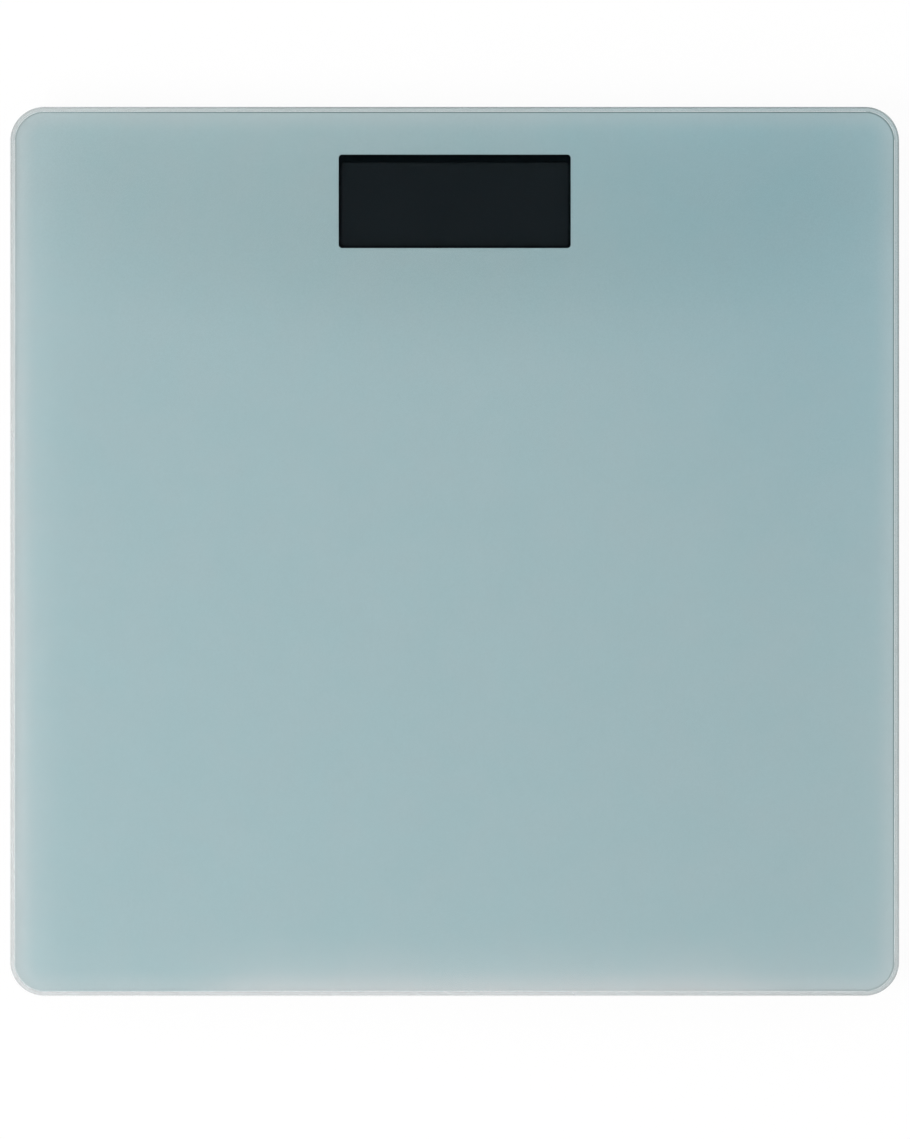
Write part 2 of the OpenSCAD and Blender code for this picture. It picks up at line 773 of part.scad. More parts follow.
module backlight_leds() {
    color([0.95, 0.93, 0.75])
        for (side = [-1, 1], k = [-1:1])
            block(side * (guide_w / 2 + led_w / 2 + seat_gap), window_y + k * led_pitch, led_w, led_l,
                  board_top_z, board_top_z + guide_t);
}

module zebra_strips() {
    color([0.55, 0.3, 0.35])
        for (side = [-1, 1])
            block(0, window_y + side * (panel_l / 2 - ledge_strip / 2), panel_w - 4, ledge_strip - 2 * seat_gap,
                  board_top_z, lcd_z + lcd_t / 2);
}

module circuit_board() {
    color([0.1, 0.35, 0.2])
        difference() {
            block(0, board_y, board_w, board_l, board_z, board_top_z);
            for (p = board_screws_at)
                translate(p) drum(screw_d + 4 * seat_gap, board_z - cut, board_top_z + cut);
            for (p = pegs_at)
                translate(p) drum(peg_d + 2 * seat_gap, board_z - cut, board_top_z + cut);
        }
}

module board_screws() {
    color([0.6, 0.6, 0.62])
        for (p = board_screws_at)
            translate(p) screw(board_top_z, board_top_z - floor_z - 1.3);
}

// The controller under its drop of black resin.
chip_x = -12;
chip_d = 11;
chip_h = 1.8;
module controller_chip() {
    ball_r = (chip_d * chip_d / 4 + chip_h * chip_h) / (2 * chip_h);
    color([0.04, 0.04, 0.045])
        translate([chip_x, board_y, 0]) intersection() {
            translate([0, 0, board_z - chip_h + ball_r]) sphere(r = ball_r);
            drum(2 * chip_d, board_z - 2 * chip_h, board_z);
        }
}

// Two can capacitors, a crystal, a driver and a row of resistors, all under
// the board.
can_d = 4;
can_h = 3.2;
can_pitch = 7;
can_in = 14;
row_pitch = 3.2;
row_count = 6;
module board_components() {
    right = board_w / 2;
    color([0.15, 0.15, 0.16]) {
        for (k = [0:1])
            translate([can_in + k * can_pitch - right, board_y + 8, 0]) drum(can_d, board_z - can_h, board_z);
        block(chip_x + 16, board_y + 10, 7, 3, board_z - 1.4, board_z);
        for (k = [0:row_count - 1])
            block(chip_x + 20 + row_pitch * k, board_y - 4, 1.2, 2, board_z - 0.6, board_z);
        block(chip_x + 28, board_y + 4, 5, 4, board_z - 1.2, board_z);
    }
}

module unit_switch() {
    color([0.08, 0.08, 0.09])
        translate([button_x, button_y, 0]) difference() {
            block(0, 0, switch_w, switch_w, switch_z, board_z);
            drum(plunger_d + 2 * pin_gap, switch_z - cut, switch_z + plunger_in + button_travel + seat_gap);
        }
}

module switch_plunger() {
    color([0.75, 0.72, 0.6])
        translate([button_x, button_y, 0]) drum(plunger_d, plunger_z, switch_z + plunger_in);
}

module unit_button() {
    color([0.35, 0.36, 0.37])
        translate([button_x, button_y, 0]) union() {
            drum(button_d, button_z, floor_z + seat_gap / 2);
            drum(button_d + 2 * button_flange_w, floor_z + seat_gap / 2, floor_z + seat_gap / 2 + button_flange_t);
            drum(plunger_d + 1, floor_z + button_flange_t, plunger_z - seat_gap / 2);
        }
}

// ---- feet and sensors ---------------------------------------------------

module foot(c) {
    wall = 2;
    web_t = 1.6;
    skin_z = foot_z + pad_seat + foot_skin;
    color([0.72, 0.73, 0.73])
        at_corner(c) {
            difference() {
                union() {
                    translate([0, 0, foot_z]) cylinder(d1 = foot_d - 2, d2 = foot_d, h = 1);
                    drum(foot_d, foot_z + 1, flange_z);
                    drum(2 * flange_r, flange_z, flange_top_z);
                }
                drum(pad_d + 2 * seat_gap, foot_z - cut, foot_z + pad_seat);
                drum(foot_d - 2 * wall, skin_z, flange_top_z + cut);
            }
            intersection() {
                drum(foot_d - wall, skin_z - cut / 2, flange_top_z);
                for (turn = [45, 135])
                    rotate(turn) block(0, 0, foot_d, web_t, skin_z - cut / 2, flange_top_z);
            }
            drum(press_d, skin_z - cut / 2, sensor_z - seat_gap / 2);
        }
}

module foot_pad(c) {
    groove = 0.6;
    color([0.12, 0.12, 0.125])
        at_corner(c) difference() {
            union() {
                translate([0, 0, 0]) cylinder(d1 = pad_d - 1, d2 = pad_d, h = 0.5);
                drum(pad_d, 0.5, foot_z + pad_seat);
            }
            for (d = [pad_d - 8, pad_d - 16])
                difference() {
                    drum(d, -cut, groove);
                    drum(d - 2, -2 * cut, groove + cut);
                }
        }
}

// The steel sensor plate: a square frame with a tongue rooted at its outer
// side, whose free end rests on the foot's boss.
module load_cell(c) {
    color([0.7, 0.71, 0.73])
        at_corner(c) mirror([c[1] > 0 ? 1 : 0, 0, 0]) difference() {
            round_plate(sensor_w, sensor_w, 3, sensor_z, sensor_t);
            difference() {
                block((tongue_end + slot_w - sensor_w / 2 + frame_w) / 2, 0,
                      tongue_end + slot_w + sensor_w / 2 - frame_w, tongue_w + 2 * slot_w,
                      sensor_z - cut, sensor_top_z + cut);
                block((tongue_end - sensor_w / 2) / 2, 0, tongue_end + sensor_w / 2, tongue_w,
                      sensor_z - 2 * cut, sensor_top_z + 2 * cut);
            }
            // waist under the gauge
            for (side = [-1, 1])
                block(gauge_x, side * tongue_w / 2, 5, 3, sensor_z - cut, sensor_top_z + cut);
        }
}

module strain_gauges() {
    color([0.93, 0.93, 0.9])
        for (c = CORNERS)
            at_corner(c) mirror([c[1] > 0 ? 1 : 0, 0, 0]) difference() {
                block(gauge_x, 0, gauge_w, gauge_l, sensor_top_z, sensor_top_z + gauge_h);
                // the sleeved wires end in the resin
                for (k = [-1:1])
                    block(gauge_x + gauge_w / 2, k * wire_pitch, 2 * wire_in, wire_d + seat_gap,
                          wire_gauge_z - wire_d / 2 - seat_gap / 2, sensor_top_z + gauge_h + cut);
            }
}

// The bracket passes the load from the glass to the sensor's frame.
module bracket(c) {
    pocket = sensor_w + 2 * seat_gap;
    flex_w = sensor_w - 2 * frame_w;
    hook_in = 1.2;
    hook_w = 8;
    color([0.2, 0.21, 0.22])
        at_corner(c) mirror([c[1] > 0 ? 1 : 0, 0, 0]) mirror([0, c[2] < 0 ? 1 : 0, 0]) {
            difference() {
                union() {
                    round_plate(bracket_w, bracket_w, 5, sensor_z, bracket_top_z - sensor_z);
                    for (side = [-1, 1])
                        translate([side * ear_x, side * ear_x, 0])
                            drum(ear_d, sensor_top_z, sensor_top_z + ear_t);
                }
                block(0, 0, pocket, pocket, sensor_z - cut, sensor_top_z);
                block(0, 0, flex_w, tongue_w + 2 * slot_w, sensor_z, sensor_top_z + flex_room);
                // a way out for the wires
                block(bracket_w / 2, 0, bracket_w, 3 * wire_pitch + 1, sensor_top_z - cut / 2, sensor_top_z + flex_room);
                for (side = [-1, 1])
                    translate([side * ear_x, side * ear_x, 0]) {
                        drum(boss_d + 2 * run_gap, sensor_z - cut, sensor_top_z);
                        drum(screw_d + 4 * seat_gap, sensor_z - cut, bracket_top_z);
                        drum(head_d + 2 * run_gap, sensor_top_z + ear_t, bracket_top_z + cut);
                    }
            }
            for (side = [-1, 1])
                block(0, side * (pocket / 2 + (bracket_wall - seat_gap) / 2 - hook_in / 2), hook_w,
                      bracket_wall - seat_gap + hook_in, hook_z, sensor_z);
        }
}

module bracket_screws() {
    color([0.6, 0.6, 0.62])
        for (c = CORNERS, ear = [-1, 1])
            at_corner(c) translate([ear * c[1] * ear_x, -ear * c[2] * ear_x, 0])
                screw(sensor_top_z + ear_t, sensor_top_z + ear_t - floor_z - 1.5);
}

// Three sleeved wires from a sensor's gauge to the board's side pads. They are
// routed for the left side and mirrored for the right.
WIRE_COLOURS = [[0.75, 0.1, 0.08], [0.9, 0.9, 0.88], [0.08, 0.08, 0.08]];
module sensor_wires(c) {
    side_x = -foot_x;
    start_x = side_x + gauge_x + gauge_w / 2 - wire_in + seat_gap / 2;
    drop_x = side_x + wire_drop;
    rise_x = -board_lane_x;
    end_x = -board_w / 2 + pad_end;
    mirror([c[1] > 0 ? 1 : 0, 0, 0])
        for (k = [-1:1]) {
            e = k * wire_pitch;
            toe_route = [
                [start_x, foot_y + e, wire_gauge_z], [drop_x, foot_y + e, wire_gauge_z],
                [drop_x, foot_y + e, wire_floor_z], [rise_x, foot_y + e, wire_floor_z],
                [rise_x, foot_y + e, wire_pad_z], [end_x, foot_y + e, wire_pad_z]];
            heel_route = [
                [start_x, -foot_y + e, wire_gauge_z], [drop_x, -foot_y + e, wire_gauge_z],
                [drop_x, -foot_y + e, wire_floor_z], [-heel_lane_x - e, -foot_y + e, wire_floor_z],
                [-heel_lane_x - e, heel_pad_y + e, wire_floor_z], [rise_x, heel_pad_y + e, wire_floor_z],
                [rise_x, heel_pad_y + e, wire_pad_z], [end_x, heel_pad_y + e, wire_pad_z]];
            color(WIRE_COLOURS[k + 1]) wire(c[2] > 0 ? toe_route : heel_route);
        }
}

// ---- the nodes ----------------------------------------------------------

glass_platform();
colour_backing();
bonding_tape();
base_tray();
battery_door();
door_latch();
unit_button();
unit_switch();
switch_plunger();
lcd_gasket();
lcd_holder();
lcd_panel();
light_guide();
backlight_leds();
zebra_strips();
circuit_board();
controller_chip();
board_components();
board_screws();
contact_plates();
battery_springs();
battery_wires();
strain_gauges();
bracket_screws();
for (i = [0:cell_count - 1])
    color([0.15, 0.16, 0.18]) cell(i);
for (c = CORNERS) {
    load_cell(c);
    bracket(c);
    foot(c);
    foot_pad(c);
    sensor_wires(c);
}
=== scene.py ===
"""A glass-top digital scale: glass, print, display, tray, feet and battery bay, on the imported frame."""
import math

import bmesh
import bpy
from mathutils import Matrix, Vector


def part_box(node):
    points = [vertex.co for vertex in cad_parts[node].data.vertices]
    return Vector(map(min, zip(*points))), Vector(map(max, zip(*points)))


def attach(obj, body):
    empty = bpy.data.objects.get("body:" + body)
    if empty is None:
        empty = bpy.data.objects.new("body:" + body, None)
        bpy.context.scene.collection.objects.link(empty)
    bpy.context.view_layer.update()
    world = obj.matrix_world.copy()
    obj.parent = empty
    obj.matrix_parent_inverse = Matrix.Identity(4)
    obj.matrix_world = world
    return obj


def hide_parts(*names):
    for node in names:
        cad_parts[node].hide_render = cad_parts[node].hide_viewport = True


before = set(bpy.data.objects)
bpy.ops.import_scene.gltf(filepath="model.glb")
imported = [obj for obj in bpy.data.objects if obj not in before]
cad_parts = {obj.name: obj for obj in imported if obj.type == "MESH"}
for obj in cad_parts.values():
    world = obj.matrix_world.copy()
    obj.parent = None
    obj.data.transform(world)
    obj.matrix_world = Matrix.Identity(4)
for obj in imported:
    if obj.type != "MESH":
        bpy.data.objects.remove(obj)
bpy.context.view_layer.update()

MM = 0.001
WHITE = (1.0, 1.0, 1.0)
CORNERS = ("toe_left", "toe_right", "heel_left", "heel_right")


# ---- sizes read from the frame ------------------------------------------

glass_low, glass_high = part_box("glass_platform")
print_low, print_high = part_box("colour_backing")
tape_low, tape_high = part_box("bonding_tape")
gasket_low, gasket_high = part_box("lcd_gasket")
door_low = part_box("battery_door")[0]
button_low, button_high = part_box("unit_button")

# sizes that the boxes don't give
CORNER_R = 11.5 * MM          # corner radius of the glass, seen from above
ARRIS = 1.4 * MM              # width of the ground bevel
WINDOW_R = 1.2 * MM           # corner radius of the display window
HOLDER_LIP = 4.4 * MM         # border of the holder outside the window
TRAY_R = 16 * MM              # corner radius of the tray
TAPE_W = 4.4 * MM             # width of the foam tape
TAPE_GAP = 0.3 * MM           # the tape stays this far inside the tray's edge
GASKET_W = 2.1 * MM           # width of the gasket
CONTACT = 0.02 * MM           # how far the print is wetted into the glass

window_w = gasket_high.x - gasket_low.x - 2 * HOLDER_LIP
window_l = gasket_high.y - gasket_low.y - 2 * HOLDER_LIP
window_y = (gasket_high.y + gasket_low.y) / 2


# ---- node trees ---------------------------------------------------------

def put(tree, kind, sockets=None, **settings):
    """Adds one node; a socket gets a value, or a link where it is given another socket."""
    made = tree.nodes.new(kind)
    for key, value in settings.items():
        setattr(made, key, value)
    for key, value in (sockets or {}).items():
        if isinstance(value, bpy.types.NodeSocket):
            tree.links.new(value, made.inputs[key])
        else:
            made.inputs[key].default_value = value
    return made


def number(tree, operation, first, second=0.0):
    """One sum on two numbers."""
    return put(tree, "ShaderNodeMath", {0: first, 1: second}, operation=operation).outputs[0]


def vector(tree, x=0.0, y=0.0, z=0.0):
    return put(tree, "ShaderNodeCombineXYZ", {0: x, 1: y, 2: z}).outputs[0]


def vector_sum(tree, operation, first, second=(0.0, 0.0, 0.0)):
    """One sum on two vectors."""
    return put(tree, "ShaderNodeVectorMath", {0: first, 1: second}, operation=operation).outputs


def new_material(name):
    """A material with an empty tree and its output node."""
    material = bpy.data.materials.new(name)
    material.use_nodes = True
    tree = material.node_tree
    tree.nodes.clear()
    return material, tree, put(tree, "ShaderNodeOutputMaterial")


def rgba(colour):
    return (*colour, 1.0)


def shaded(colour, factor):
    return tuple(min(1.0, channel * factor) for channel in colour)


def place(tree):
    """Where on the object a shading point lies."""
    return put(tree, "ShaderNodeTexCoord").outputs["Object"]


def noise(tree, scale, detail=3.0):
    return put(tree, "ShaderNodeTexNoise", {
        "Vector": place(tree), "Scale": scale, "Detail": detail, "Roughness": 0.55}).outputs["Fac"]


def blend_colours(tree, factor, first, second):
    mix = put(tree, "ShaderNodeMix", {0: factor}, data_type="RGBA")
    for socket, colour in ((6, first), (7, second)):
        if isinstance(colour, bpy.types.NodeSocket):
            tree.links.new(colour, mix.inputs[socket])
        else:
            mix.inputs[socket].default_value = rgba(colour)
    return mix.outputs[2]


def varied_colour(tree, colour, spread, scale):
    """A colour that drifts a little lighter and darker across the surface."""
    return blend_colours(
        tree, noise(tree, scale), shaded(colour, 1 - spread), shaded(colour, 1 + spread))


def fade(tree, value, start, end, low=0.0, high=1.0, kind="SMOOTHSTEP"):
    """Maps a value from start..end to low..high."""
    return put(tree, "ShaderNodeMapRange", {
        "Value": value, "From Min": start, "From Max": end, "To Min": low, "To Max": high,
    }, interpolation_type=kind).outputs["Result"]


def between(tree, share, low, high):
    """The value that lies a given share of the way from low to high."""
    return fade(tree, share, 0.0, 1.0, low, high, "LINEAR")


def varied_value(tree, low, high, scale):
    """A value that drifts from low to high across the surface."""
    return fade(tree, noise(tree, scale), 0.3, 0.7, low, high, "LINEAR")


def either(tree, *rays):
    """One where a ray is of any of the given kinds."""
    path = put(tree, "ShaderNodeLightPath")
    found = path.outputs[rays[0]]
    for ray in rays[1:]:
        found = number(tree, "MAXIMUM", found, path.outputs[ray])
    return found


def soft_edges(tree, radius):
    """Normals that round off sharp edges, as a mould does."""
    return put(tree, "ShaderNodeBevel", {"Radius": radius}, samples=6).outputs["Normal"]


def grained(tree, grain, depth, edge=0.0):
    """The bump of a moulded or cast surface, over softened edges where an edge radius is given."""
    sockets = {"Height": noise(tree, 1.0 / grain, 2.0), "Distance": depth, "Strength": 1.0}
    if edge:
        sockets["Normal"] = soft_edges(tree, edge)
    return put(tree, "ShaderNodeBump", sockets).outputs["Normal"]


def finish_with(tree, output, sockets):
    surface = put(tree, "ShaderNodeBsdfPrincipled", sockets)
    tree.links.new(surface.outputs["BSDF"], output.inputs["Surface"])


def moulded(name, colour, rough=(0.4, 0.55), grain=0.5 * MM, depth=0.03 * MM, spread=0.03, edge=0.0,
            **sockets):
    """Moulded plastic or rubber: a fine grain, and a colour and a gloss that vary a little."""
    material, tree, output = new_material(name)
    finish_with(tree, output, {
        "Base Color": varied_colour(tree, colour, spread, 35.0),
        "Roughness": varied_value(tree, *rough, 60.0),
        "Normal": grained(tree, grain, depth, edge), **sockets})
    return material


def metal(name, colour, rough=(0.22, 0.38), along=(1, 20, 20)):
    """Rolled or drawn metal with faint streaks along one direction."""
    material, tree, output = new_material(name)
    stretch = put(tree, "ShaderNodeMapping", {
        "Vector": place(tree), "Scale": tuple(45.0 * share for share in along)})
    lines = put(tree, "ShaderNodeTexNoise", {"Vector": stretch.outputs[0], "Scale": 1.0, "Detail": 2.0})
    bump = put(tree, "ShaderNodeBump", {
        "Height": lines.outputs["Fac"], "Distance": 0.01 * MM, "Normal": soft_edges(tree, 0.08 * MM)})
    finish_with(tree, output, {
        "Base Color": varied_colour(tree, colour, 0.05, 80.0), "Metallic": 1.0,
        "Roughness": fade(tree, lines.outputs["Fac"], 0.3, 0.7, *rough, "LINEAR"),
        "Normal": bump.outputs["Normal"]})
    return material


def distance_to_border(tree, half_w, half_l, radius):
    """How far in from a rounded rectangle's outline a point lies, up to the corner radius."""
    corner = (half_w - radius, half_l - radius, 1.0)
    away = vector_sum(tree, "ABSOLUTE", place(tree))[0]
    past = vector_sum(tree, "MAXIMUM", vector_sum(tree, "SUBTRACT", away, corner)[0])[0]
    return number(tree, "SUBTRACT", radius, vector_sum(tree, "LENGTH", past)["Value"])


def towards_toe_right(tree, start=-0.2, end=0.2):
    """Grows from nought to one towards the platform's toe right corner, as x + y goes from start to end."""
    axes = put(tree, "ShaderNodeSeparateXYZ", {0: place(tree)}).outputs
    return fade(tree, number(tree, "ADD", axes["X"], axes["Y"]), start, end)


GLASS_TINT = (0.994, 0.998, 0.998)
GLASS_DEPTHS = (0.50, 0.90, 0.84)     # what light turns to on a long way through the glass
GLASS_DENSITY = 3.0                   # how soon it does, per metre
ARRIS_TINT = (1.0, 0.93, 0.92)
ARRIS_ROUGH = 0.24
ARRIS_CLEAR_PAINTED_LIGHT = (0.70, 0.93)            # painted light: how much light the bevel lets through, less at the heel left so it looks paler there, more at the toe right
ARRIS_BLUR = 0.05 * MM                # half the width over which polish turns to bevel


def plate_glass(name, half_w, half_l, radius, band):
    """Float glass with a ground bevel. It greens with depth and lets light through to the print."""
    material, tree, output = new_material(name)
    # painted light: the bevel scatters more, and so looks paler, towards the heel left
    clear = between(tree, towards_toe_right(tree), *ARRIS_CLEAR_PAINTED_LIGHT)
    inside = distance_to_border(tree, half_w, half_l, radius)
    edge = fade(tree, inside, band + ARRIS_BLUR, band - ARRIS_BLUR)
    surface = put(tree, "ShaderNodeBsdfPrincipled", {
        "Base Color": blend_colours(tree, edge, GLASS_TINT, ARRIS_TINT), "IOR": 1.5,
        "Transmission Weight": between(tree, edge, 1.0, clear),
        "Roughness": between(tree, edge, 0.0, ARRIS_ROUGH),
        "Normal": grained(tree, 60 * MM, 0.005 * MM)})
    through = put(tree, "ShaderNodeBsdfTransparent", {"Color": rgba(GLASS_TINT)})
    mix = put(tree, "ShaderNodeMixShader", {
        "Fac": either(tree, "Is Shadow Ray"), 1: surface.outputs["BSDF"], 2: through.outputs["BSDF"]})
    volume = put(tree, "ShaderNodeVolumeAbsorption", {
        "Color": rgba(GLASS_DEPTHS), "Density": GLASS_DENSITY})
    tree.links.new(mix.outputs["Shader"], output.inputs["Surface"])
    tree.links.new(volume.outputs["Volume"], output.inputs["Volume"])
    return material


PRINT_COLOUR = (0.351, 0.466, 0.490)
PRINT_HUE_DRIFT = 0.015               # how far its red strays to either side
PRINT_GRAIN = 0.03                    # how far its grain strays to either side
PRINT_SHADE_TINT = (0.88, 0.97, 1.0)        # painted shade: its cooler, darker tint in the toe right corner,
PRINT_SHADE_SPAN = (0.06, 0.26)        # and where, in metres of x + y, that tint starts and is full
PAINTED_BORDER_LIGHT = (0.68, 0.62, 0.61)    # painted light: what the print pales towards at its border
PAINTED_BORDER_LIGHT_W = 8 * MM
PAINTED_BORDER_LIGHT_SHARE = 0.17
PAINTED_HEM_SHADE = (0.10, 0.16, 0.16)       # painted shade: what it darkens to in its last hair's breadth
HEM_FROM, HEM_TO = 0.7 * MM, 0.25 * MM
PAINTED_HEM_SHADE_SHARE = 0.7


def print_enamel(name, colour, half_w, half_l, radius):
    """The baked colour under the glass: a fine grain and a slow drift of hue, with painted shade that
    makes it a little cooler and darker in the toe right corner. Its border is painted a touch paler, as
    painted light from the ground edge. Towards the toe and the right its last hair's breadth is painted
    darker, as painted shade."""
    material, tree, output = new_material(name)
    red, *others = colour
    drift = blend_colours(
        tree, fade(tree, noise(tree, 60.0, 2.0), 0.3, 0.7),
        (red * (1 - PRINT_HUE_DRIFT), *others), (red * (1 + PRINT_HUE_DRIFT), *others))
    grain = fade(tree, noise(tree, 2600.0, 1.5), 0.3, 0.7, 1 - PRINT_GRAIN, 1 + PRINT_GRAIN, "LINEAR")
    even = put(tree, "ShaderNodeVectorMath", {0: drift, "Scale": grain}, operation="SCALE").outputs[0]
    # painted shade: the print turns cooler and darker towards the toe right corner
    shade_tint = blend_colours(tree, towards_toe_right(tree, *PRINT_SHADE_SPAN), WHITE, PRINT_SHADE_TINT)
    even = vector_sum(tree, "MULTIPLY", even, shade_tint)[0]
    inside = distance_to_border(tree, half_w, half_l, radius)
    # painted light: the print pales towards its border, as if lit through the ground edge
    with_border_light = blend_colours(tree, fade(tree, inside, PAINTED_BORDER_LIGHT_W, 0.0, 0.0, PAINTED_BORDER_LIGHT_SHARE), even, PAINTED_BORDER_LIGHT)
    # painted shade: the last hair's breadth darkens towards the toe and the right only
    share = fade(tree, towards_toe_right(tree), 0.1, 0.9, 0.0, PAINTED_HEM_SHADE_SHARE)
    hem_shaded = blend_colours(tree, fade(tree, inside, HEM_FROM, HEM_TO, 0.0, share), with_border_light, PAINTED_HEM_SHADE)
    finish_with(tree, output, {"Base Color": hem_shaded, "Roughness": 0.6, "Specular IOR Level": 0.1})
    return material


PRINT_R = CORNER_R - (glass_high.x - print_high.x)
GLASS = plate_glass("tempered_glass", glass_high.x, glass_high.y, CORNER_R, ARRIS)
PRINT = print_enamel("colour_print", PRINT_COLOUR, print_high.x, print_high.y, PRINT_R)
PRINT_BACK = moulded("print_back", (0.42, 0.44, 0.44), (0.5, 0.6), depth=0.01 * MM)
TRAY_PLASTIC = moulded("tray_plastic", (0.70, 0.715, 0.71), (0.42, 0.55), 0.7 * MM, 0.07 * MM,
                       edge=0.3 * MM)
DOOR_PLASTIC = moulded("door_plastic", (0.68, 0.695, 0.69), (0.40, 0.52), 0.7 * MM, 0.06 * MM,
                       edge=0.25 * MM)
FOOT_PLASTIC = moulded("foot_plastic", (0.42, 0.43, 0.435), (0.4, 0.5), 0.4 * MM, 0.025 * MM)
BUTTON_PLASTIC = moulded("button_plastic", (0.085, 0.09, 0.095), (0.35, 0.45), 0.4 * MM, 0.015 * MM)
HOLDER_PLASTIC = moulded("holder_plastic", (0.0016, 0.0030, 0.0040), (0.6, 0.75), 0.3 * MM, 0.01 * MM,
                         edge=0.1 * MM, **{"Specular IOR Level": 0.01})
DISPLAY_FACE = moulded("display_face", (0.0062, 0.0096, 0.0116), (0.18, 0.25), 0.2 * MM, 0.002 * MM, 0.06,
                       **{"Specular IOR Level": 0.04})
SWITCH_PLASTIC = moulded("switch_plastic", (0.02, 0.02, 0.022), (0.4, 0.5), edge=0.1 * MM)
BRACKET_PLASTIC = moulded("bracket_plastic", (0.033, 0.036, 0.04), (0.45, 0.6), edge=0.25 * MM)
PLUNGER_PLASTIC = moulded("plunger_plastic", (0.5, 0.45, 0.3), (0.35, 0.5), edge=0.1 * MM)
PAD_RUBBER = moulded("pad_rubber", (0.016, 0.016, 0.017), (0.72, 0.88), 0.35 * MM, 0.05 * MM, 0.12)
FOAM = moulded("foam", (0.012, 0.012, 0.012), (0.9, 1.0), 0.25 * MM, 0.12 * MM, 0.2)
BOARD_LAMINATE = moulded("board_laminate", (0.01, 0.09, 0.035), (0.25, 0.4), 0.3 * MM, 0.01 * MM, 0.1)
RESIN = moulded("resin", (0.012, 0.012, 0.013), (0.15, 0.25), 2 * MM, 0.05 * MM, edge=0.2 * MM)
GAUGE_RESIN = moulded("gauge_resin", (0.8, 0.8, 0.75), (0.4, 0.5), edge=0.3 * MM)
GUIDE_ACRYLIC = moulded("guide_acrylic", (0.82, 0.85, 0.87), (0.15, 0.25), depth=0.005 * MM)
LED_RESIN = moulded("led_resin", (0.85, 0.8, 0.5), (0.15, 0.25), depth=0.005 * MM)
CONTACT_RUBBER = moulded("contact_rubber", (0.25, 0.08, 0.1), (0.6, 0.7))
RED_SLEEVE = moulded("red_sleeve", (0.5, 0.02, 0.015), (0.35, 0.45), depth=0.01 * MM)
WHITE_SLEEVE = moulded("white_sleeve", (0.75, 0.75, 0.73), (0.35, 0.45), depth=0.01 * MM)
BLACK_SLEEVE = moulded("black_sleeve", (0.02, 0.02, 0.02), (0.35, 0.45), depth=0.01 * MM)
CELL_JACKET = moulded("cell_jacket", (0.07, 0.15, 0.20), (0.22, 0.32), 1.5 * MM, 0.02 * MM, 0.04)
CELL_BAND = moulded("cell_band", (0.62, 0.63, 0.62), (0.22, 0.32), 1.5 * MM, 0.02 * MM, 0.03)
SENSOR_STEEL = metal("sensor_steel", (0.55, 0.56, 0.58))
ZINC_STEEL = metal("zinc_steel", (0.62, 0.62, 0.64), (0.25, 0.4), (8, 8, 8))
NICKEL = metal("nickel", (0.72, 0.70, 0.66), (0.14, 0.28), (3, 20, 6))
CELL_STEEL = metal("cell_steel", (0.70, 0.71, 0.72), (0.16, 0.3), (8, 8, 8))


# ---- meshes and pieces --------------------------------------------------

def add_piece(name, mesh, materials, body, *nodes):
    """Links a mesh as a piece that rides on a body and stands for the given nodes."""
    piece = bpy.data.objects.new(name, mesh)
    bpy.context.scene.collection.objects.link(piece)
    if not mesh.materials:
        for material in materials:
            mesh.materials.append(material)
    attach(piece, body)
    if nodes:
        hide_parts(*nodes)
    return piece


def smooth(mesh, angle=35.0):
    """Smooth where the surface turns gently, sharp where it turns hard."""
    mesh.polygons.foreach_set("use_smooth", [True] * len(mesh.polygons))
    mesh.set_sharp_from_angle(angle=math.radians(angle))
    return mesh


def mesh_from(bm, name):
    """Ends a bmesh as a mesh whose doubles are merged."""
    bmesh.ops.remove_doubles(bm, verts=bm.verts, dist=1e-7)
    mesh = bpy.data.meshes.new(name)
    bm.to_mesh(mesh)
    bm.free()
    return mesh


def weighted(piece):
    """Lets the large faces lead the normals."""
    weigh = piece.modifiers.new("weighted_normals", "WEIGHTED_NORMAL")
    weigh.keep_sharp = True


def paint(mesh, slot_of):
    """Gives each face the slot that a rule picks from its centre."""
    for face in mesh.polygons:
        face.material_index = slot_of(face.center)
    return mesh


def rounded_loop(w, l, r, z, steps=24, centre=(0.0, 0.0)):
    """The points of a rounded rectangle, anticlockwise seen from above."""
    points = []
    for k, (sx, sy) in enumerate(((1, 1), (-1, 1), (-1, -1), (1, -1))):
        for step in range(steps + 1):
            turn = math.radians(90 * (k + step / steps))
            points.append(Vector((
                centre[0] + sx * (w / 2 - r) + r * math.cos(turn),
                centre[1] + sy * (l / 2 - r) + r * math.sin(turn), z)))
    return points


def filleted(outline, radius, steps=4):
    """Rounds the inner corners of an open outline of flat points."""
    rounded = [Vector(outline[0])]
    for before, corner, after in zip(outline, outline[1:], outline[2:]):
        corner = Vector(corner)
        back, on = (Vector(before) - corner).normalized(), (Vector(after) - corner).normalized()
        half = back.angle(on) / 2
        reach = radius / math.tan(half)
        middle = corner + (back + on).normalized() * radius / math.sin(half)
        start, end = corner + back * reach - middle, corner + on * reach - middle
        sweep = start.angle_signed(end)
        for step in range(steps + 1):
            turn = Matrix.Rotation(-sweep * step / steps, 2)
            rounded.append(middle + turn @ start)
    rounded.append(Vector(outline[-1]))
    return rounded


def loft(bm, loops):
    """Skins a stack of equal loops and closes both ends."""
    rings = [[bm.verts.new(point) for point in loop] for loop in loops]
    count = len(rings[0])
    for low, high in zip(rings, rings[1:]):
        for i in range(count):
            j = (i + 1) % count
            bm.faces.new((low[i], low[j], high[j], high[i]))
    bm.faces.new(list(reversed(rings[0])))
    bm.faces.new(rings[-1])


def rounded_block(name, size, middle, radius, ease):
    """A block with round corners seen from above and eased edges."""
    w, l, h = size
    outline = filleted([(ease * 2, -h / 2), (0, -h / 2), (0, h / 2), (ease * 2, h / 2)], ease, 3)
    bm = bmesh.new()
    loft(bm, [
        rounded_loop(w - 2 * inset, l - 2 * inset, max(radius - inset, ease / 4), middle[2] + z, 8, middle)
        for inset, z in outline])
    return smooth(mesh_from(bm, name), 50.0)


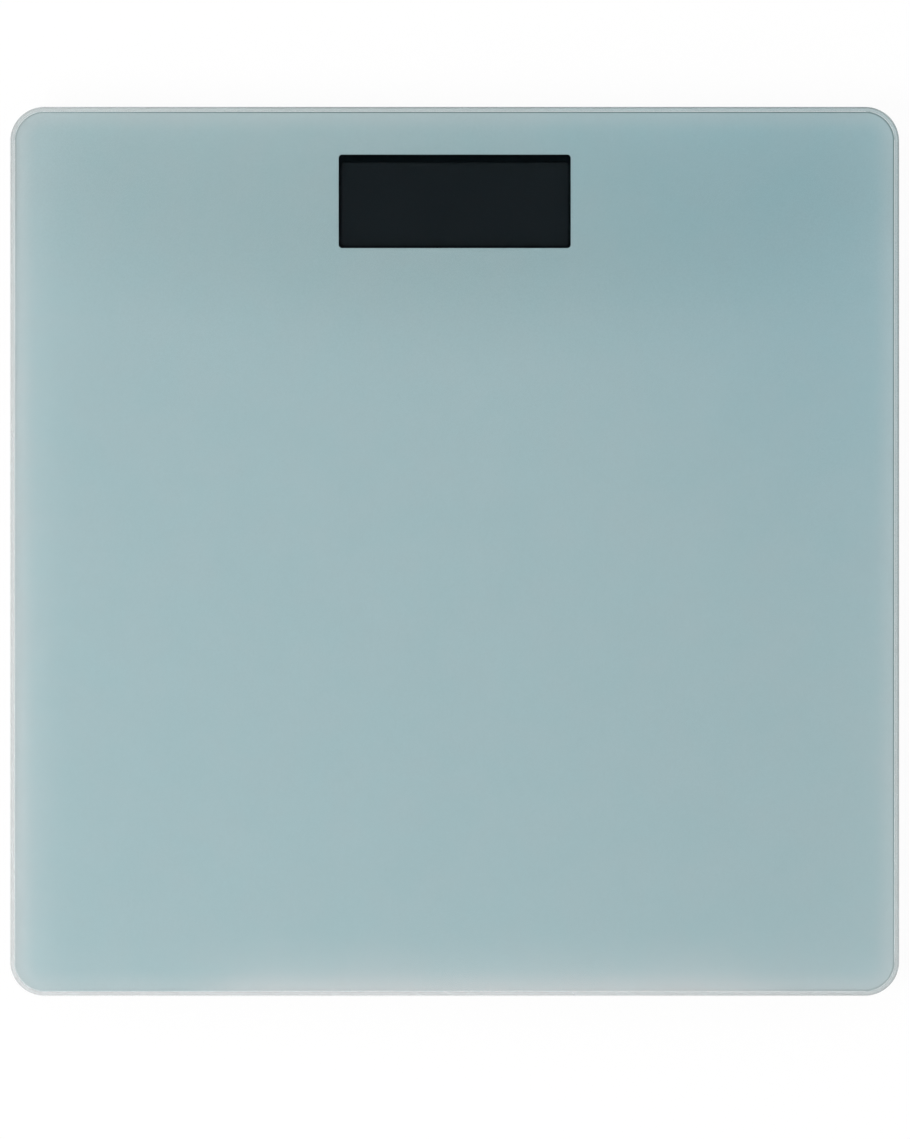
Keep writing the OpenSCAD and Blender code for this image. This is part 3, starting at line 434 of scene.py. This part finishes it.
def turned(name, outline, place, steps=96):
    """A solid turned from (radius, height) points that start and end on the axis, then put in place."""
    bm = bmesh.new()
    rings = []
    for radius, z in outline:
        if radius < 1e-9:
            rings.append([bm.verts.new((0.0, 0.0, z))])
            continue
        rings.append([bm.verts.new((
            radius * math.cos(2 * math.pi * k / steps), radius * math.sin(2 * math.pi * k / steps), z,
        )) for k in range(steps)])
    for low, high in zip(rings, rings[1:]):
        for k in range(steps):
            n = (k + 1) % steps
            corners = [low[k % len(low)], low[n % len(low)], high[n % len(high)], high[k % len(high)]]
            bm.faces.new(list(dict.fromkeys(corners)))
    bmesh.ops.transform(bm, matrix=place, verts=bm.verts)
    return smooth(mesh_from(bm, name), 40.0)


def in_mm(*points):
    return [(a * MM, b * MM) for a, b in points]


def merged_copy(node, name):
    """A copy of a node's mesh with its triangles joined and its flats made whole."""
    bm = bmesh.new()
    bm.from_mesh(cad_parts[node].data)
    bmesh.ops.remove_doubles(bm, verts=bm.verts, dist=1e-6)
    bmesh.ops.dissolve_limit(
        bm, angle_limit=math.radians(0.3), use_dissolve_boundaries=False, verts=bm.verts, edges=bm.edges)
    mesh = bpy.data.meshes.new(name)
    bm.to_mesh(mesh)
    bm.free()
    return mesh


def eased_copy(name, node, materials, body, ease):
    """A node's own shape with its sharp edges eased, as a mould leaves them."""
    piece = add_piece(name, smooth(merged_copy(node, name), 30.0), materials, body, node)
    bevel = piece.modifiers.new("eased_edges", "BEVEL")
    bevel.width = ease
    bevel.segments = 2
    bevel.limit_method = "ANGLE"
    bevel.angle_limit = math.radians(30.0)
    bevel.use_clamp_overlap = True
    bevel.harden_normals = True


# ---- geometry nodes -----------------------------------------------------

SOCKET_KINDS = {float: "NodeSocketFloat", int: "NodeSocketInt", tuple: "NodeSocketVector"}


def new_growth(name, sizes):
    """A Geometry Nodes tree with a named input for each size and for the material."""
    tree = bpy.data.node_groups.new(name, "GeometryNodeTree")
    tree.interface.new_socket("Geometry", in_out="INPUT", socket_type="NodeSocketGeometry")
    for label, value in sizes.items():
        tree.interface.new_socket(label, in_out="INPUT", socket_type=SOCKET_KINDS[type(value)])
    tree.interface.new_socket("Material", in_out="INPUT", socket_type="NodeSocketMaterial")
    tree.interface.new_socket("Geometry", in_out="OUTPUT", socket_type="NodeSocketGeometry")
    return tree, put(tree, "NodeGroupInput").outputs


def grown(tree, inputs, geometry, sizes, material, round_off=False):
    """Ends a tree, runs it once with its inputs set and gives back the plain mesh."""
    flat = put(tree, "GeometryNodeRealizeInstances", {"Geometry": geometry})
    shade = put(tree, "GeometryNodeSetShadeSmooth", {
        "Geometry": flat.outputs[0], "Shade Smooth": round_off})
    dressed = put(tree, "GeometryNodeSetMaterial", {
        "Geometry": shade.outputs[0], "Material": inputs["Material"]})
    put(tree, "NodeGroupOutput", {"Geometry": dressed.outputs[0]})
    seed = bpy.data.objects.new(tree.name, bpy.data.meshes.new(tree.name + "_seed"))
    bpy.context.scene.collection.objects.link(seed)
    growth = seed.modifiers.new("growth", "NODES")
    growth.node_group = tree
    values = {**sizes, "Material": material}
    for item in tree.interface.items_tree:
        if item.in_out == "INPUT" and item.name in values:
            growth[item.identifier] = values[item.name]
    evaluated = seed.evaluated_get(bpy.context.evaluated_depsgraph_get())
    mesh = bpy.data.meshes.new_from_object(evaluated)
    mesh.name = tree.name
    seed.modifiers.remove(growth)
    bpy.data.objects.remove(seed)
    return mesh


def round_ended_bar(tree, length, width, low, high):
    """An upright prism on a round-ended outline that lies along X."""
    flat = put(tree, "GeometryNodeCurvePrimitiveQuadrilateral", {"Width": length, "Height": width})
    ends = put(tree, "GeometryNodeFilletCurve", {
        "Curve": flat.outputs[0], "Count": 5,
        "Radius": number(tree, "MULTIPLY", width, 0.499)}, mode="POLY")
    rise = put(tree, "GeometryNodeCurvePrimitiveLine", {
        "Start": vector(tree, z=low), "End": vector(tree, z=high)})
    return put(tree, "GeometryNodeCurveToMesh", {
        "Curve": rise.outputs[0], "Profile Curve": ends.outputs[0], "Fill Caps": True}).outputs[0]


def strip_around(name, width, length, radius, band, low, high, centre_y, material):
    """A flat strip laid round a rectangle with round corners: foam tape or a gasket."""
    sizes = {"Width": width - band, "Length": length - band, "Corner radius": radius - band / 2,
             "Band": band, "Thickness": high - low, "Middle": (0.0, centre_y, (low + high) / 2)}
    tree, inputs = new_growth(name, sizes)
    path = put(tree, "GeometryNodeCurvePrimitiveQuadrilateral", {
        "Width": inputs["Width"], "Height": inputs["Length"]})
    path = put(tree, "GeometryNodeFilletCurve", {
        "Curve": path.outputs[0], "Count": 16, "Radius": inputs["Corner radius"]}, mode="POLY")
    path = put(tree, "GeometryNodeSetCurveNormal", {"Curve": path.outputs[0]}, mode="Z_UP")
    section = put(tree, "GeometryNodeCurvePrimitiveQuadrilateral", {
        "Width": inputs["Band"], "Height": inputs["Thickness"]})
    section = put(tree, "GeometryNodeFilletCurve", {
        "Curve": section.outputs[0], "Count": 2, "Radius": 0.12 * MM}, mode="POLY")
    strip = put(tree, "GeometryNodeCurveToMesh", {
        "Curve": path.outputs[0], "Profile Curve": section.outputs[0]})
    placed = put(tree, "GeometryNodeTransform", {
        "Geometry": strip.outputs[0], "Translation": inputs["Middle"]})
    return grown(tree, inputs, placed.outputs[0], sizes, material)


def ribs_in_a_row(name, first, count, pitch, length, width, low, high, material):
    """Upright ribs that lie along X, one beside the other along Y."""
    sizes = {"First": first, "Count": count, "Pitch": pitch, "Length": length, "Width": width,
             "Low": low, "High": high}
    tree, inputs = new_growth(name, sizes)
    row = put(tree, "GeometryNodeMeshLine", {
        "Count": inputs["Count"], "Start Location": inputs["First"],
        "Offset": vector(tree, y=inputs["Pitch"])}, mode="OFFSET")
    rib = round_ended_bar(tree, inputs["Length"], inputs["Width"], inputs["Low"], inputs["High"])
    ribs = put(tree, "GeometryNodeInstanceOnPoints", {"Points": row.outputs[0], "Instance": rib})
    return grown(tree, inputs, ribs.outputs[0], sizes, material)


def ribs_in_a_ring(name, centre, count, radius, length, width, low, high, material):
    """Upright ribs that point at the middle of a ring."""
    sizes = {"Centre": centre, "Count": count, "Radius": radius, "Length": length, "Width": width,
             "Low": low, "High": high}
    tree, inputs = new_growth(name, sizes)
    ring = put(tree, "GeometryNodeMeshCircle", {"Vertices": inputs["Count"], "Radius": inputs["Radius"]})
    step = number(tree, "DIVIDE", 2 * math.pi, inputs["Count"])
    index = put(tree, "GeometryNodeInputIndex").outputs[0]
    facing = put(tree, "FunctionNodeEulerToRotation", {
        "Euler": vector(tree, z=number(tree, "MULTIPLY", index, step))})
    rib = round_ended_bar(tree, inputs["Length"], inputs["Width"], inputs["Low"], inputs["High"])
    ribs = put(tree, "GeometryNodeInstanceOnPoints", {
        "Points": ring.outputs[0], "Instance": rib, "Rotation": facing.outputs[0]})
    placed = put(tree, "GeometryNodeTransform", {
        "Geometry": ribs.outputs[0], "Translation": inputs["Centre"]})
    return grown(tree, inputs, placed.outputs[0], sizes, material)


def conical_springs(name, first, count, pitch, sizes, material):
    """Tapering springs side by side, every other one turned the other way."""
    sizes = {"First": first, "Count": count, "Pitch": pitch, **sizes}
    tree, inputs = new_growth(name, sizes)
    coil = put(tree, "GeometryNodeCurveSpiral", {
        "Resolution": 28, "Rotations": inputs["Turns"], "Start Radius": inputs["Base radius"],
        "End Radius": inputs["Tip radius"], "Height": inputs["Length"]})
    wire = put(tree, "GeometryNodeCurvePrimitiveCircle", {
        "Resolution": 10, "Radius": inputs["Wire radius"]}, mode="RADIUS")
    spring = put(tree, "GeometryNodeCurveToMesh", {
        "Curve": coil.outputs[0], "Profile Curve": wire.outputs[0], "Fill Caps": True})
    row = put(tree, "GeometryNodeMeshLine", {
        "Count": inputs["Count"], "Start Location": inputs["First"],
        "Offset": vector(tree, y=inputs["Pitch"])}, mode="OFFSET")
    odd = number(tree, "MODULO", put(tree, "GeometryNodeInputIndex").outputs[0], 2.0)
    seats = put(tree, "ShaderNodeSeparateXYZ", {0: inputs["First"]})
    across = number(tree, "MULTIPLY", number(tree, "MULTIPLY", odd, -2.0), seats.outputs["X"])
    moved = put(tree, "GeometryNodeSetPosition", {
        "Geometry": row.outputs[0], "Offset": vector(tree, x=across)})
    lean = number(tree, "SUBTRACT", math.pi / 2, number(tree, "MULTIPLY", odd, math.pi))
    facing = put(tree, "FunctionNodeEulerToRotation", {"Euler": vector(tree, y=lean)})
    springs = put(tree, "GeometryNodeInstanceOnPoints", {
        "Points": moved.outputs[0], "Instance": spring.outputs[0], "Rotation": facing.outputs[0]})
    return grown(tree, inputs, springs.outputs[0], sizes, material, True)


# ---- glass, print and tape ----------------------------------------------

def glass_platform():
    """The plate, with both arrises ground and their edges just eased."""
    w, l = glass_high.x - glass_low.x, glass_high.y - glass_low.y
    low, high = glass_low.z, glass_high.z
    inner = ARRIS + 0.5 * MM       # a loop on the flat, so that the bevel's fillet stays narrow
    outline = filleted(
        [(inner, low), (ARRIS, low), (0, low + ARRIS), (0, high - ARRIS), (ARRIS, high), (inner, high)],
        0.3 * MM)
    bm = bmesh.new()
    loft(bm, [rounded_loop(w - 2 * inset, l - 2 * inset, CORNER_R - inset, z) for inset, z in outline])
    mesh = smooth(mesh_from(bm, "glass"), 50.0)
    weighted(add_piece("glass", mesh, [GLASS], "platform", "glass_platform"))


def colour_print():
    """The baked print with its display window, wetted into the glass's lower face."""
    w, l = print_high.x - print_low.x, print_high.y - print_low.y
    bm = bmesh.new()
    loops = []
    for z in (print_low.z, print_high.z + CONTACT):
        outer = rounded_loop(w, l, PRINT_R, z)
        window = rounded_loop(window_w, window_l, WINDOW_R, z, centre=(0, window_y))
        loops.append(([bm.verts.new(p) for p in outer], [bm.verts.new(p) for p in window]))
    (outer_low, window_low), (outer_top, window_top) = loops
    count = len(outer_low)
    for i in range(count):
        j = (i + 1) % count
        bm.faces.new((outer_low[i], outer_low[j], outer_top[j], outer_top[i]))
        bm.faces.new((window_low[j], window_low[i], window_top[i], window_top[j]))
        bm.faces.new((outer_top[i], outer_top[j], window_top[j], window_top[i]))
        back = bm.faces.new((outer_low[j], outer_low[i], window_low[i], window_low[j]))
        back.material_index = 1
    mesh = mesh_from(bm, "colour_print")
    add_piece("colour_print", mesh, [PRINT, PRINT_BACK], "platform", "colour_backing")


def foam_strips():
    """The tape between tray and glass, and the gasket round the display."""
    tape = strip_around(
        "foam_tape", tape_high.x - tape_low.x, tape_high.y - tape_low.y, TRAY_R - TAPE_GAP, TAPE_W,
        tape_low.z, tape_high.z, 0.0, FOAM)
    add_piece("foam_tape", smooth(tape), [FOAM], "platform", "bonding_tape")
    gasket = strip_around(
        "display_gasket", gasket_high.x - gasket_low.x, gasket_high.y - gasket_low.y, WINDOW_R + GASKET_W,
        GASKET_W, gasket_low.z, gasket_high.z, window_y, FOAM)
    add_piece("display_gasket", smooth(gasket), [FOAM], "platform", "lcd_gasket")


# ---- display ------------------------------------------------------------

def display():
    """Two sheets of display glass with a dark film on top; the lower sheet carries the contact ledge."""
    low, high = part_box("lcd_panel")
    middle = (low + high) / 2
    film, sheet = 0.25 * MM, 1.1 * MM
    ledge, seal_x, seal_y = 2.4 * MM, 1.2 * MM, 1.0 * MM
    size = high - low
    parts = (
        ("display_lower_glass", (size.x, size.y, size.z - sheet - film), low.z, RESIN, 0.3),
        ("display_upper_glass", (size.x, size.y - ledge, sheet), high.z - sheet - film, RESIN, 0.3),
        ("display_film", (size.x - seal_x, size.y - ledge - seal_y, film), high.z - film,
         DISPLAY_FACE, 0.4),
    )
    for name, block, bottom, material, corner in parts:
        mesh = rounded_block(
            name, block, (middle.x, middle.y, bottom + block[2] / 2), corner * MM, 0.06 * MM)
        add_piece(name, mesh, [material], "platform", "lcd_panel")


# ---- tray, door and button ----------------------------------------------

def housing():
    """The tray, the battery door and its latch, each with its moulded edges eased."""
    eased_copy("tray", "base_tray", [TRAY_PLASTIC], "platform", 0.25 * MM)
    eased_copy("door", "battery_door", [DOOR_PLASTIC], "battery_door", 0.2 * MM)
    eased_copy("latch", "door_latch", [DOOR_PLASTIC], "battery_door", 0.15 * MM)


GRIP_RIBS = 6
GRIP_IN = 3.6 * MM                    # the first rib, from the door's latch side
GRIP_PITCH = 1.7 * MM
GRIP_RIB_L, GRIP_RIB_W = 17 * MM, 0.8 * MM
GRIP_LOW, GRIP_HIGH = -0.25 * MM, 0.1 * MM
ARROW_TIP, ARROW_HEART, ARROW_BACK = 15.4 * MM, 17.5 * MM, 18.6 * MM
ARROW_HALF = 2.6 * MM


def door_grip():
    """Raised ribs for the fingertip and an arrow that points to the latch."""
    ribs = ribs_in_a_row(
        "door_grip_ribs", (0.0, door_low.y + GRIP_IN, door_low.z), GRIP_RIBS, GRIP_PITCH,
        GRIP_RIB_L, GRIP_RIB_W, GRIP_LOW, GRIP_HIGH, DOOR_PLASTIC)
    add_piece("door_grip_ribs", smooth(ribs), [DOOR_PLASTIC], "battery_door", "battery_door")
    outline = [(-ARROW_HALF, ARROW_BACK), (0.0, ARROW_TIP), (ARROW_HALF, ARROW_BACK)]
    bm = bmesh.new()
    rings = []
    for z, grow in ((GRIP_HIGH, 1.0), (GRIP_LOW * 0.6, 1.0), (GRIP_LOW, 0.86)):
        rings.append([bm.verts.new((
            x * grow, door_low.y + (y - ARROW_HEART) * grow + ARROW_HEART, door_low.z + z,
        )) for x, y in outline])
    for upper, lower in zip(rings, rings[1:]):
        for i in range(3):
            j = (i + 1) % 3
            bm.faces.new((upper[i], upper[j], lower[j], lower[i]))
    bm.faces.new(rings[0])
    bm.faces.new(rings[-1])
    bmesh.ops.recalc_face_normals(bm, faces=bm.faces)
    add_piece("door_arrow", mesh_from(bm, "door_arrow"), [DOOR_PLASTIC], "battery_door", "battery_door")


def unit_button():
    """The round key, a little dished for the fingertip, with its flange and stem."""
    outline = in_mm(
        (0, 5.4), (2.4, 5.36), (4.0, 5.2), (4.6, 5.5), (4.6, 7.05), (6.2, 7.05), (6.2, 7.65), (2.2, 7.65),
        (2.2, 8.25), (0, 8.25))
    middle = (button_low + button_high) / 2
    place = Matrix.Translation((middle.x, middle.y, 0.0))
    mesh = turned("unit_key", filleted(outline, 0.15 * MM), place, 64)
    add_piece("unit_key", mesh, [BUTTON_PLASTIC], "unit_button", "unit_button")


# ---- feet ---------------------------------------------------------------

FOOT_OUTLINE = in_mm(
    (0, 2.4), (17.1, 2.4), (17.1, 1.6), (20, 1.6), (21, 2.6), (21, 7.1), (23.2, 7.1), (23.2, 8.3),
    (19, 8.3), (19, 4.4), (4, 4.4), (4, 10.25), (0, 10.25))
PAD_OUTLINE = in_mm(
    (0, 0), (8, 0), (8, 0.6), (9, 0.6), (9, 0), (9.4, 0), (9.4, 0.4), (11.6, 0.4), (11.6, 0), (12, 0),
    (12, 0.6), (13, 0.6), (13, 0), (16.5, 0), (17, 0.5), (17, 2.4), (0, 2.4))
WEB_SIZE = (38.6 * MM, 1.6 * MM, 4.1 * MM)
WEB_MIDDLE = 6.2 * MM
TREAD_RIBS = 36
TREAD_R = 10.5 * MM
TREAD_RIB_L, TREAD_RIB_W = 2.5 * MM, 0.7 * MM
TREAD_LOW, TREAD_HIGH = 0.02 * MM, 0.5 * MM


def foot(corner):
    """One foot: a turned cup with a stem and crossed webs, and a rubber pad with grooves and tread."""
    low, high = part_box("foot_" + corner)
    middle = (low + high) / 2
    place = Matrix.Translation((middle.x, middle.y, 0.0))
    body, node, pad_node = "foot_" + corner, "foot_" + corner, "foot_pad_" + corner
    cup = turned("foot_cup_" + corner, filleted(FOOT_OUTLINE, 0.25 * MM), place, 128)
    add_piece("foot_cup_" + corner, cup, [FOOT_PLASTIC], body, node)
    for side, turn in (("a", 45), ("b", 135)):
        name = "foot_web_%s_%s" % (side, corner)
        web = rounded_block(name, WEB_SIZE, (0, 0, WEB_MIDDLE), 0.3 * MM, 0.15 * MM)
        web.transform(place @ Matrix.Rotation(math.radians(turn), 4, "Z"))
        add_piece(name, web, [FOOT_PLASTIC], body, node)
    pad = turned("pad_" + corner, filleted(PAD_OUTLINE, 0.12 * MM, 3), place, 128)
    add_piece("pad_" + corner, pad, [PAD_RUBBER], body, pad_node)
    tread = ribs_in_a_ring(
        "pad_tread_" + corner, (middle.x, middle.y, 0.0), TREAD_RIBS, TREAD_R, TREAD_RIB_L,
        TREAD_RIB_W, TREAD_LOW, TREAD_HIGH, PAD_RUBBER)
    add_piece("pad_tread_" + corner, tread, [PAD_RUBBER], body, pad_node)


# ---- battery bay --------------------------------------------------------

CELLS = 3
CELL_LENGTH = 44.5 * MM
CELL_BAND_FROM = 0.8 * CELL_LENGTH
CELL_BARE_R = 4.25 * MM               # the ends are bare steel inside this radius
CELL_PITCH = 10.9 * MM
CELL_OUTLINE = in_mm(
    (0, 0.2), (4.1, 0.2), (4.4, 0), (5.2, 0), (5.2, 43.5), (4.3, 43.5), (4.1, 43.1), (1.9, 43.1),
    (1.9, 44.5), (0, 44.5))


def cell(index):
    """An AAA cell with a dark jacket, a light band at its nub and bare steel ends."""
    node = "aaa_cell_%d" % (index + 1)
    low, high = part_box(node)
    turn = 1 if index % 2 == 0 else -1
    start = low.x if turn > 0 else high.x
    place = Matrix.Translation((start, (low.y + high.y) / 2, (low.z + high.z) / 2))
    place = place @ Matrix.Rotation(math.radians(90 * turn), 4, "Y")
    mesh = turned("cell_%d" % (index + 1), filleted(CELL_OUTLINE, 0.12 * MM, 3), Matrix(), 64)
    bm = bmesh.new()
    bm.from_mesh(mesh)
    bmesh.ops.bisect_plane(
        bm, geom=bm.verts[:] + bm.edges[:] + bm.faces[:], dist=1e-7,
        plane_co=(0, 0, CELL_BAND_FROM), plane_no=(0, 0, 1))
    bm.to_mesh(mesh)
    bm.free()

    def slot_of(centre):
        at_an_end = not 1 * MM < centre.z < CELL_LENGTH - 1.5 * MM
        if at_an_end and math.hypot(centre.x, centre.y) < CELL_BARE_R:
            return 2
        return 1 if centre.z > CELL_BAND_FROM else 0

    paint(mesh, slot_of)
    mesh.transform(place)
    add_piece(mesh.name, smooth(mesh, 40.0), [CELL_JACKET, CELL_BAND, CELL_STEEL], "platform", node)


SPRING_SEAT = 24.8 * MM               # from the middle of the bay to a spring's base
SPRING_SIZES = {
    "Turns": 4.0, "Base radius": 3.4 * MM, "Tip radius": 2.0 * MM, "Length": 5.0 * MM,
    "Wire radius": 0.35 * MM}


def springs():
    """The three springs that press on the cells' flat ends."""
    cell_low, cell_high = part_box("aaa_cell_1")
    first = (-SPRING_SEAT, (cell_low.y + cell_high.y) / 2, (cell_low.z + cell_high.z) / 2)
    mesh = conical_springs("springs", first, CELLS, -CELL_PITCH, SPRING_SIZES, NICKEL)
    add_piece("springs", mesh, [NICKEL], "platform", "battery_springs")


# ---- wires --------------------------------------------------------------

def wires(corner):
    """The three leads of one sensor, each with its own sleeve colour."""
    node = "sensor_wires_" + corner
    bm = bmesh.new()
    bm.from_mesh(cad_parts[node].data)
    bmesh.ops.remove_doubles(bm, verts=bm.verts, dist=1e-6)
    unseen, lead = set(bm.faces), 0
    while unseen:
        group = [min(unseen, key=lambda face: face.index)]
        unseen.discard(group[0])
        for face in group:
            face.material_index = lead % 3
            for edge in face.edges:
                for other in edge.link_faces:
                    if other in unseen:
                        unseen.discard(other)
                        group.append(other)
        lead += 1
    mesh = smooth(mesh_from(bm, "leads_" + corner), 60.0)
    add_piece("leads_" + corner, mesh, [RED_SLEEVE, WHITE_SLEEVE, BLACK_SLEEVE], "platform", node)


# ---- nodes that keep their own mesh -------------------------------------

KEPT = {
    "lcd_holder": HOLDER_PLASTIC, "light_guide": GUIDE_ACRYLIC, "backlight_leds": LED_RESIN,
    "zebra_strips": CONTACT_RUBBER, "circuit_board": BOARD_LAMINATE, "controller_chip": RESIN,
    "board_components": SWITCH_PLASTIC, "board_screws": ZINC_STEEL, "contact_plates": NICKEL,
    "battery_wires": RED_SLEEVE, "strain_gauges": GAUGE_RESIN, "bracket_screws": ZINC_STEEL,
    "unit_switch": SWITCH_PLASTIC, "switch_plunger": PLUNGER_PLASTIC,
    **{"load_cell_" + corner: SENSOR_STEEL for corner in CORNERS},
    **{"bracket_" + corner: BRACKET_PLASTIC for corner in CORNERS},
}


def dress(node, material):
    """Gives a node's own mesh its one material."""
    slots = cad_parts[node].data.materials
    slots.clear()
    slots.append(material)


# ---- stage --------------------------------------------------------------

FLOOR_HALF = 3.0                      # half the floor's side, in metres
FLOOR_SHINE = 0.9                     # how much of the floor glows white; the rest takes shadows


def floor():
    """A white floor with a soft shadow, open from below and to the light that goes past it."""
    material, tree, output = new_material("floor")
    seen = either(tree, "Is Camera Ray", "Is Glossy Ray", "Is Transmission Ray")
    matt = put(tree, "ShaderNodeBsdfDiffuse", {"Color": rgba((0.9, 0.9, 0.9))})
    white = put(tree, "ShaderNodeEmission", {"Color": rgba(WHITE), "Strength": 1.0})
    above = put(tree, "ShaderNodeMixShader", {
        "Fac": number(tree, "MULTIPLY", seen, FLOOR_SHINE), 1: matt.outputs["BSDF"],
        2: white.outputs["Emission"]})
    below = put(tree, "ShaderNodeNewGeometry").outputs["Backfacing"]
    passing = number(tree, "MAXIMUM", below, either(tree, "Is Shadow Ray", "Is Diffuse Ray"))
    clear = put(tree, "ShaderNodeBsdfTransparent")
    both = put(tree, "ShaderNodeMixShader", {
        "Fac": passing, 1: above.outputs["Shader"], 2: clear.outputs["BSDF"]})
    tree.links.new(both.outputs["Shader"], output.inputs["Surface"])
    corners = [(sx * FLOOR_HALF, sy * FLOOR_HALF, 0) for sx, sy in ((-1, -1), (1, -1), (1, 1), (-1, 1))]
    mesh = bpy.data.meshes.new("floor")
    mesh.from_pydata(corners, [], [(0, 1, 2, 3)])
    mesh.materials.append(material)
    obj = bpy.data.objects.new("floor", mesh)
    bpy.context.scene.collection.objects.link(obj)


# levels of the room's light
WALLS = 0.92
OVERHEAD = 1.0
OVERHEAD_COLOUR = (0.75, 0.88, 0.99)
DARK_CARD = 0.005
SIDE_GLOW = 1.8
HEEL_GLOW = 2.7
GLOW_COLOUR = (1.0, 0.58, 0.50)
BELOW_LEFT, BELOW_RIGHT = 0.85, 0.5

# its forms near the zenith, where a direction is the x and y of a unit vector
ZENITH = (0.0, 0.0)
WALL_RISE = (0.06, 0.42)              # how far off the zenith the overhead light turns to wall light
ABOVE_DISPLAY = (0.0025, 0.039)       # the middle of the dark card
CARD_STRETCH = (0.41, 1.0)
CARD_RIM = (0.012, 0.0235)
SIDE_RISE = (-0.0325, -0.0375)        # the glow to the left grows along x,
SIDE_FALL = (0.03, -0.01)             # and is weaker towards the toe
SIDE_WEAKEST = 0.55
HEEL_RISE = (-0.030, -0.0355)         # the glow at the heel side grows along y,
HEEL_START = (-0.0255, -0.0135)       # starts past the left corner
HEEL_FALL = (0.020, 0.030)            # and is weaker towards the right
HEEL_WEAKEST = 0.35
GLOW_END = (0.08, 0.16)               # how far off the zenith the glows and the cool tint end


def room():
    """A pale room, cool overhead, with a dark card above the display and a warm glow to the left and
    the heel side."""
    world = bpy.data.worlds.new("room")
    bpy.context.scene.world = world
    world.use_nodes = True
    tree = world.node_tree
    tree.nodes.clear()
    output = put(tree, "ShaderNodeOutputWorld")
    where = put(tree, "ShaderNodeTexCoord").outputs["Generated"]
    axes = put(tree, "ShaderNodeSeparateXYZ", {0: where}).outputs
    x, y, z = axes["X"], axes["Y"], axes["Z"]

    def times(first, second):
        return number(tree, "MULTIPLY", first, second)

    def off(centre, stretch=(1.0, 1.0)):
        """How far a direction lies from one near the zenith, measured across the sky."""
        moved = vector_sum(tree, "SUBTRACT", where, (*centre, 0.0))[0]
        flat = vector_sum(tree, "MULTIPLY", moved, (*stretch, 0.0))[0]
        return vector_sum(tree, "LENGTH", flat)["Value"]

    def rising(value, span, level):
        """Grows to a level with the square of the way along a span."""
        way = fade(tree, value, *span, kind="LINEAR")
        return times(times(way, way), level)

    card = fade(tree, off(ABOVE_DISPLAY, CARD_STRETCH), *CARD_RIM, 1.0, 0.0)
    sky = times(
        fade(tree, off(ZENITH), *WALL_RISE, OVERHEAD, WALLS),
        between(tree, card, 1.0, DARK_CARD / OVERHEAD))
    side = times(rising(x, SIDE_RISE, SIDE_GLOW), fade(tree, y, *SIDE_FALL, SIDE_WEAKEST, 1.0))
    along_heel = times(fade(tree, x, *HEEL_START), fade(tree, x, *HEEL_FALL, 1.0, HEEL_WEAKEST))
    heel = times(rising(y, HEEL_RISE, HEEL_GLOW), along_heel)
    overhead = times(fade(tree, off(ZENITH), *GLOW_END, 1.0, 0.0), fade(tree, z, -0.02, 0.02))
    glow = times(number(tree, "MAXIMUM", side, heel), overhead)
    above = times(sky, fade(tree, z, -0.02, 0.02))
    # what comes up from below is softer on one side, so that the underside keeps its forms
    across = fade(tree, x, -0.9, 0.9, BELOW_LEFT, BELOW_RIGHT, "LINEAR")
    below = times(fade(tree, z, 0.02, -0.02), across)
    air = put(tree, "ShaderNodeBackground", {
        "Color": blend_colours(tree, overhead, WHITE, OVERHEAD_COLOUR),
        "Strength": number(tree, "ADD", above, below)})
    warm = put(tree, "ShaderNodeBackground", {"Color": rgba(GLOW_COLOUR), "Strength": glow})
    lit = put(tree, "ShaderNodeAddShader", {0: air.outputs[0], 1: warm.outputs[0]})
    white = put(tree, "ShaderNodeBackground", {"Color": rgba(WHITE), "Strength": 1.0})
    mix = put(tree, "ShaderNodeMixShader", {
        "Fac": either(tree, "Is Camera Ray"), 1: lit.outputs[0], 2: white.outputs[0]})
    tree.links.new(mix.outputs["Shader"], output.inputs["Surface"])


def softbox(name, place_at, size, power, colour=WHITE):
    """A round lamp that looks at the plate."""
    light = bpy.data.lights.new(name, "AREA")
    light.shape = "DISK"
    light.size = size
    light.energy = power
    light.color = colour
    lamp = bpy.data.objects.new(name, light)
    lamp.location = place_at
    lamp.rotation_euler = (-Vector(place_at)).to_track_quat("-Z", "Y").to_euler()
    bpy.context.scene.collection.objects.link(lamp)


def camera():
    """Looks straight down from afar; the plate sits a little above the middle of the frame."""
    reach, frame_height = 4.0, 384.3 * MM
    aim = (0.1 * MM, -6.15 * MM)
    view = bpy.data.cameras.new("camera")
    view.sensor_fit = "VERTICAL"
    view.sensor_height = 24.0
    view.lens = view.sensor_height * reach / frame_height
    view.clip_start = 0.01
    eye = bpy.data.objects.new("camera", view)
    eye.location = (*aim, glass_high.z + reach)
    bpy.context.scene.collection.objects.link(eye)
    bpy.context.scene.camera = eye


glass_platform()
colour_print()
foam_strips()
display()
housing()
door_grip()
unit_button()
for at in CORNERS:
    foot(at)
    wires(at)
for slot in range(CELLS):
    cell(slot)
springs()
for kept, finish in KEPT.items():
    dress(kept, finish)

floor()
room()
softbox("key", (-0.55, -0.30, 0.95), size=0.6, power=3.75, colour=(1.0, 0.98, 0.96))
softbox("fill", (1.0, 0.7, 1.4), size=0.9, power=0.9)
softbox("low", (-0.9, 0.5, -0.9), size=0.6, power=5.0)
camera()
bpy.context.scene.view_settings.view_transform = "Standard"
